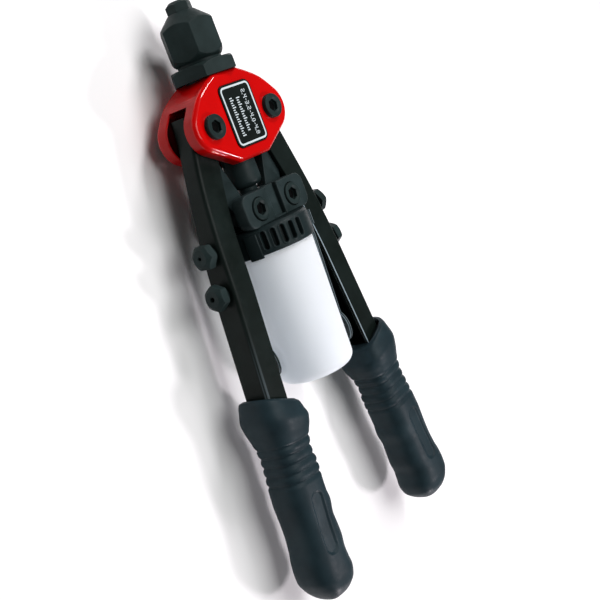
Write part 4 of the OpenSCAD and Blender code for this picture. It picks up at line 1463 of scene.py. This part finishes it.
@dataclass
class Straps(Assembly):
    """The two spring straps that hold the bottle, each with a round pad."""

    turns: tuple[float, float] = (24.0, 204.0)
    half: float = 2.5
    thick: float = 1.5
    pad_y: float = -122.4
    pad_r: float = 8.0
    foot: float = 6.0
    corner: float = 0.45
    # strength of the painted highlight on the strap's corners
    worn: float = 0.35
    inner: Pairs = ((-118, 22.0), (-100, 22.7), (-70, 24.1), (-66, 24.2), (-56, 24.2))

    def build(self) -> None:
        """Makes both straps as lofts of rounded bars that lean in towards the bottle.

        The half width at each height is the greater of the strap's own and that of the pad's circle,
        joined by a power mean.  A highlight is painted along the rounded corners of the bar.
        """
        low = self.pad_y - self.pad_r
        round_end = self.pad_y - self.pad_r * np.cos(np.radians(np.linspace(1, 88, 40)))
        y = np.concatenate([round_end, np.linspace(self.pad_y + 0.4, -100, 60), np.linspace(-99, -66, 30),
                            np.array([-65.4, -65.0, -64.6, -56.8])])
        pad = np.sqrt(np.maximum(self.pad_r**2 - (y - self.pad_y) ** 2, 0.01))
        half = np.where(y < self.pad_y, pad, (pad**3 + self.half**3) ** (1 / 3))
        half = np.where(y > -64.8, self.foot, half)
        inner = soft_curve(y, ((low, 21.9), *self.inner))
        q, r = quarter_turn(5), self.corner
        nip = np.stack([r * np.cos(q) - r, r * np.sin(q) - r], -1)
        signs = np.array([[1, 1], [-1, 1], [-1, -1], [1, -1]])
        nips = np.concatenate([nip[:: 1 - 2 * (k % 2)] * sign for k, sign in enumerate(signs)])
        sign = np.repeat(signs, len(q), axis=0)
        across = sign[:, 0] * half[:, None] + nips[:, 0] * np.minimum(1.0, half / 1.5)[:, None]
        out = inner[:, None] + self.thick / 2 + sign[:, 1] * self.thick / 2 + nips[:, 1]
        most = np.abs(nips).max(axis=1)
        # painted highlight on the rounded corners of the strap
        shade = np.broadcast_to(-self.worn * (most > 0.01) * (most < r), out.shape)
        shell = Shell()
        for turn in np.radians(self.turns):
            x = out * math.cos(turn) - across * math.sin(turn)
            z = out * math.sin(turn) + across * math.cos(turn)
            shell.loft(np.stack([x, np.broadcast_to(y[:, None], x.shape), z], -1), shade=shade)
        self.kit.seat(shell.piece("bottle_straps", 50.0), "puller", "black_plastic", "bottle_clips")


@dataclass
class Bottle(Assembly):
    """The milky bottle that catches spent mandrels."""

    top_r: float = 22.4
    low_r: float = 20.8
    neck_r: float = 17.0
    neck_top: float = -57.3
    shoulder: float = -67.6
    bottom: float = -138.6
    wall: float = 1.3
    foot: float = 6.0

    def build(self) -> None:
        """Turns the bottle from one closed profile, outer wall down and inner wall up."""
        t, b, f, top = self.wall, self.bottom, self.foot, self.shoulder
        turns = quarter_turn(13)
        foot = [(self.low_r - f + f * math.cos(q), b + f - f * math.sin(q)) for q in turns]
        inner = [(self.low_r - f + (f - t) * math.cos(q), b + f - (f - t) * math.sin(q)) for q in turns[::-1]]
        down = [(self.neck_r, self.neck_top), (self.neck_r, top), (self.top_r - 0.8, top),
                (self.top_r - 0.1, top - 0.7), (self.top_r, top - 1.6)]
        up = [(self.top_r - t, top - t), (self.neck_r - t, top - t), (self.neck_r - t, self.neck_top)]
        profile = np.array(down + foot + [(0.0, b), (0.0, b + t)] + inner + up + down[:1])
        bottle = Shell().revolve(profile, 160).piece("bottle_shell", 40.0)
        self.kit.seat(bottle, "mandrel_bottle", "bottle_plastic", "bottle")


# ---- studio


@dataclass(frozen=True)
class Lamp:
    """A soft square lamp: the point it faces, its place from there and its side in metres, and watts."""

    name: str
    target: Triple
    away: Triple
    size: float
    power: float
    colour: Triple

    def build(self) -> None:
        """Adds the lamp and turns it to its point."""
        data = bpy.data.lights.new(self.name, "AREA")
        data.shape = "SQUARE"
        data.size = self.size
        data.energy = self.power
        data.color = self.colour
        target = Vector(self.target)
        place = target + Vector(self.away)
        turn = (target - place).to_track_quat("-Z", "Y")
        new_object(self.name, data).matrix_world = Matrix.Translation(place) @ turn.to_matrix().to_4x4()


TOOL_MIDDLE = (0.0, -0.14, 0.0)
HEAD_FACE = (-0.018, -0.07, 0.014)
LAMPS = (
    Lamp("overhead_box", TOOL_MIDDLE, (0.0, 0.2, 1.0), 0.7, 6.9, (1.0, 1.0, 1.0)),
    Lamp("face_edge_box", HEAD_FACE, (0.43, -0.5855, 0.686), 0.13, 3.8, (1.0, 0.93, 0.98)),
    Lamp("low_edge_box", HEAD_FACE, (0.2256, -0.962, 0.1535), 0.11, 3.2, (1.0, 0.93, 0.98)),
    Lamp("crown_edge_box", HEAD_FACE, (0.378, 0.654, 0.6555), 0.26, 5.6, (1.0, 0.97, 0.99)),
)


@dataclass
class Studio:
    """Camera at the photograph's angle, pale floor and soft lights.

    The camera stands at `place`, in metres, and `right`, `up` and `back` are its own axes.
    """

    place: Triple = (-0.400113, -0.06665, 0.365492)
    right: Triple = (0.576926, -0.353666, 0.736259)
    up: Triple = (0.362226, 0.918694, 0.157462)
    back: Triple = (-0.732085, 0.175848, 0.658125)
    lens: float = 62.82
    shift: tuple[float, float] = (-0.0002, -0.0005)
    floor_half: float = 6.0
    world_light: float = 0.1

    def camera(self) -> None:
        """Places the camera from the three directions of its own axes."""
        data = bpy.data.cameras.new("photo_camera")
        data.lens = self.lens
        data.sensor_width = 36.0
        data.sensor_fit = "HORIZONTAL"
        data.clip_start = 0.01
        data.clip_end = 20.0
        data.shift_x, data.shift_y = self.shift
        cam = new_object("photo_camera", data)
        cam.matrix_world = Matrix([*zip(self.right, self.up, self.back, self.place), (0.0, 0.0, 0.0, 1.0)])
        bpy.context.scene.camera = cam

    def floor(self, z: float) -> None:
        """Makes the pale floor.

        Args:
            z: its height, in metres.
        """
        mesh = bpy.data.meshes.new("floor")
        s = self.floor_half
        mesh.from_pydata([(-s, -s, z), (s, -s, z), (s, s, z), (-s, s, z)], [], [(0, 1, 2, 3)])
        floor = new_object("floor", mesh)
        n = Nodes("studio_floor")
        tone = n.mix(n.noise(3.0), (0.93, 0.93, 0.93), (0.95, 0.95, 0.95))
        n.feed({"Base Color": tone, "Roughness": 0.9, "Specular IOR Level": 0.1})
        mesh.materials.append(n.material)
        floor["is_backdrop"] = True

    def build(self, floor_z: float) -> None:
        """Makes the floor, the world, the lamps and the camera.

        Args:
            floor_z: height of the floor under the tool, in metres.
        """
        self.floor(floor_z)
        world = bpy.data.worlds.new("studio")
        world.use_nodes = True
        sky = world.node_tree.nodes["Background"].inputs
        sky["Color"].default_value = (1.0, 1.0, 1.0, 1.0)
        sky["Strength"].default_value = self.world_light
        bpy.context.scene.world = world
        bpy.context.scene.view_settings.view_transform = "Standard"
        for lamp in LAMPS:
            lamp.build()
        self.camera()


def box_lists() -> list[list[float]]:
    """The shown object's lowest and highest corners as plain lists."""
    return [[float(v) for v in corner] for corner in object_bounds()]


def main() -> None:
    """Loads the frame, builds each sub-assembly, then the studio on a floor under the frame's box."""
    logging.basicConfig(level=logging.INFO, format="%(name)s: %(message)s")
    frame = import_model()
    cad_box = box_lists()
    kit = Kit(frame)
    levers = [Lever(kit, Side.RIGHT, trim=2.6), Lever(kit, Side.LEFT)]
    for part in (Head(kit), Nose(kit), JawSpring(kit), *levers, Puller(kit), Straps(kit), Bottle(kit)):
        part.build()
    for row in frame["record"]["subparts"]:
        kit.paint.dress(frame["nodes"][row["node"]], row["material_slot"])
    Studio().build(cad_box[0][2] - FLOOR_GAP)


if __name__ == "__main__":
    main()
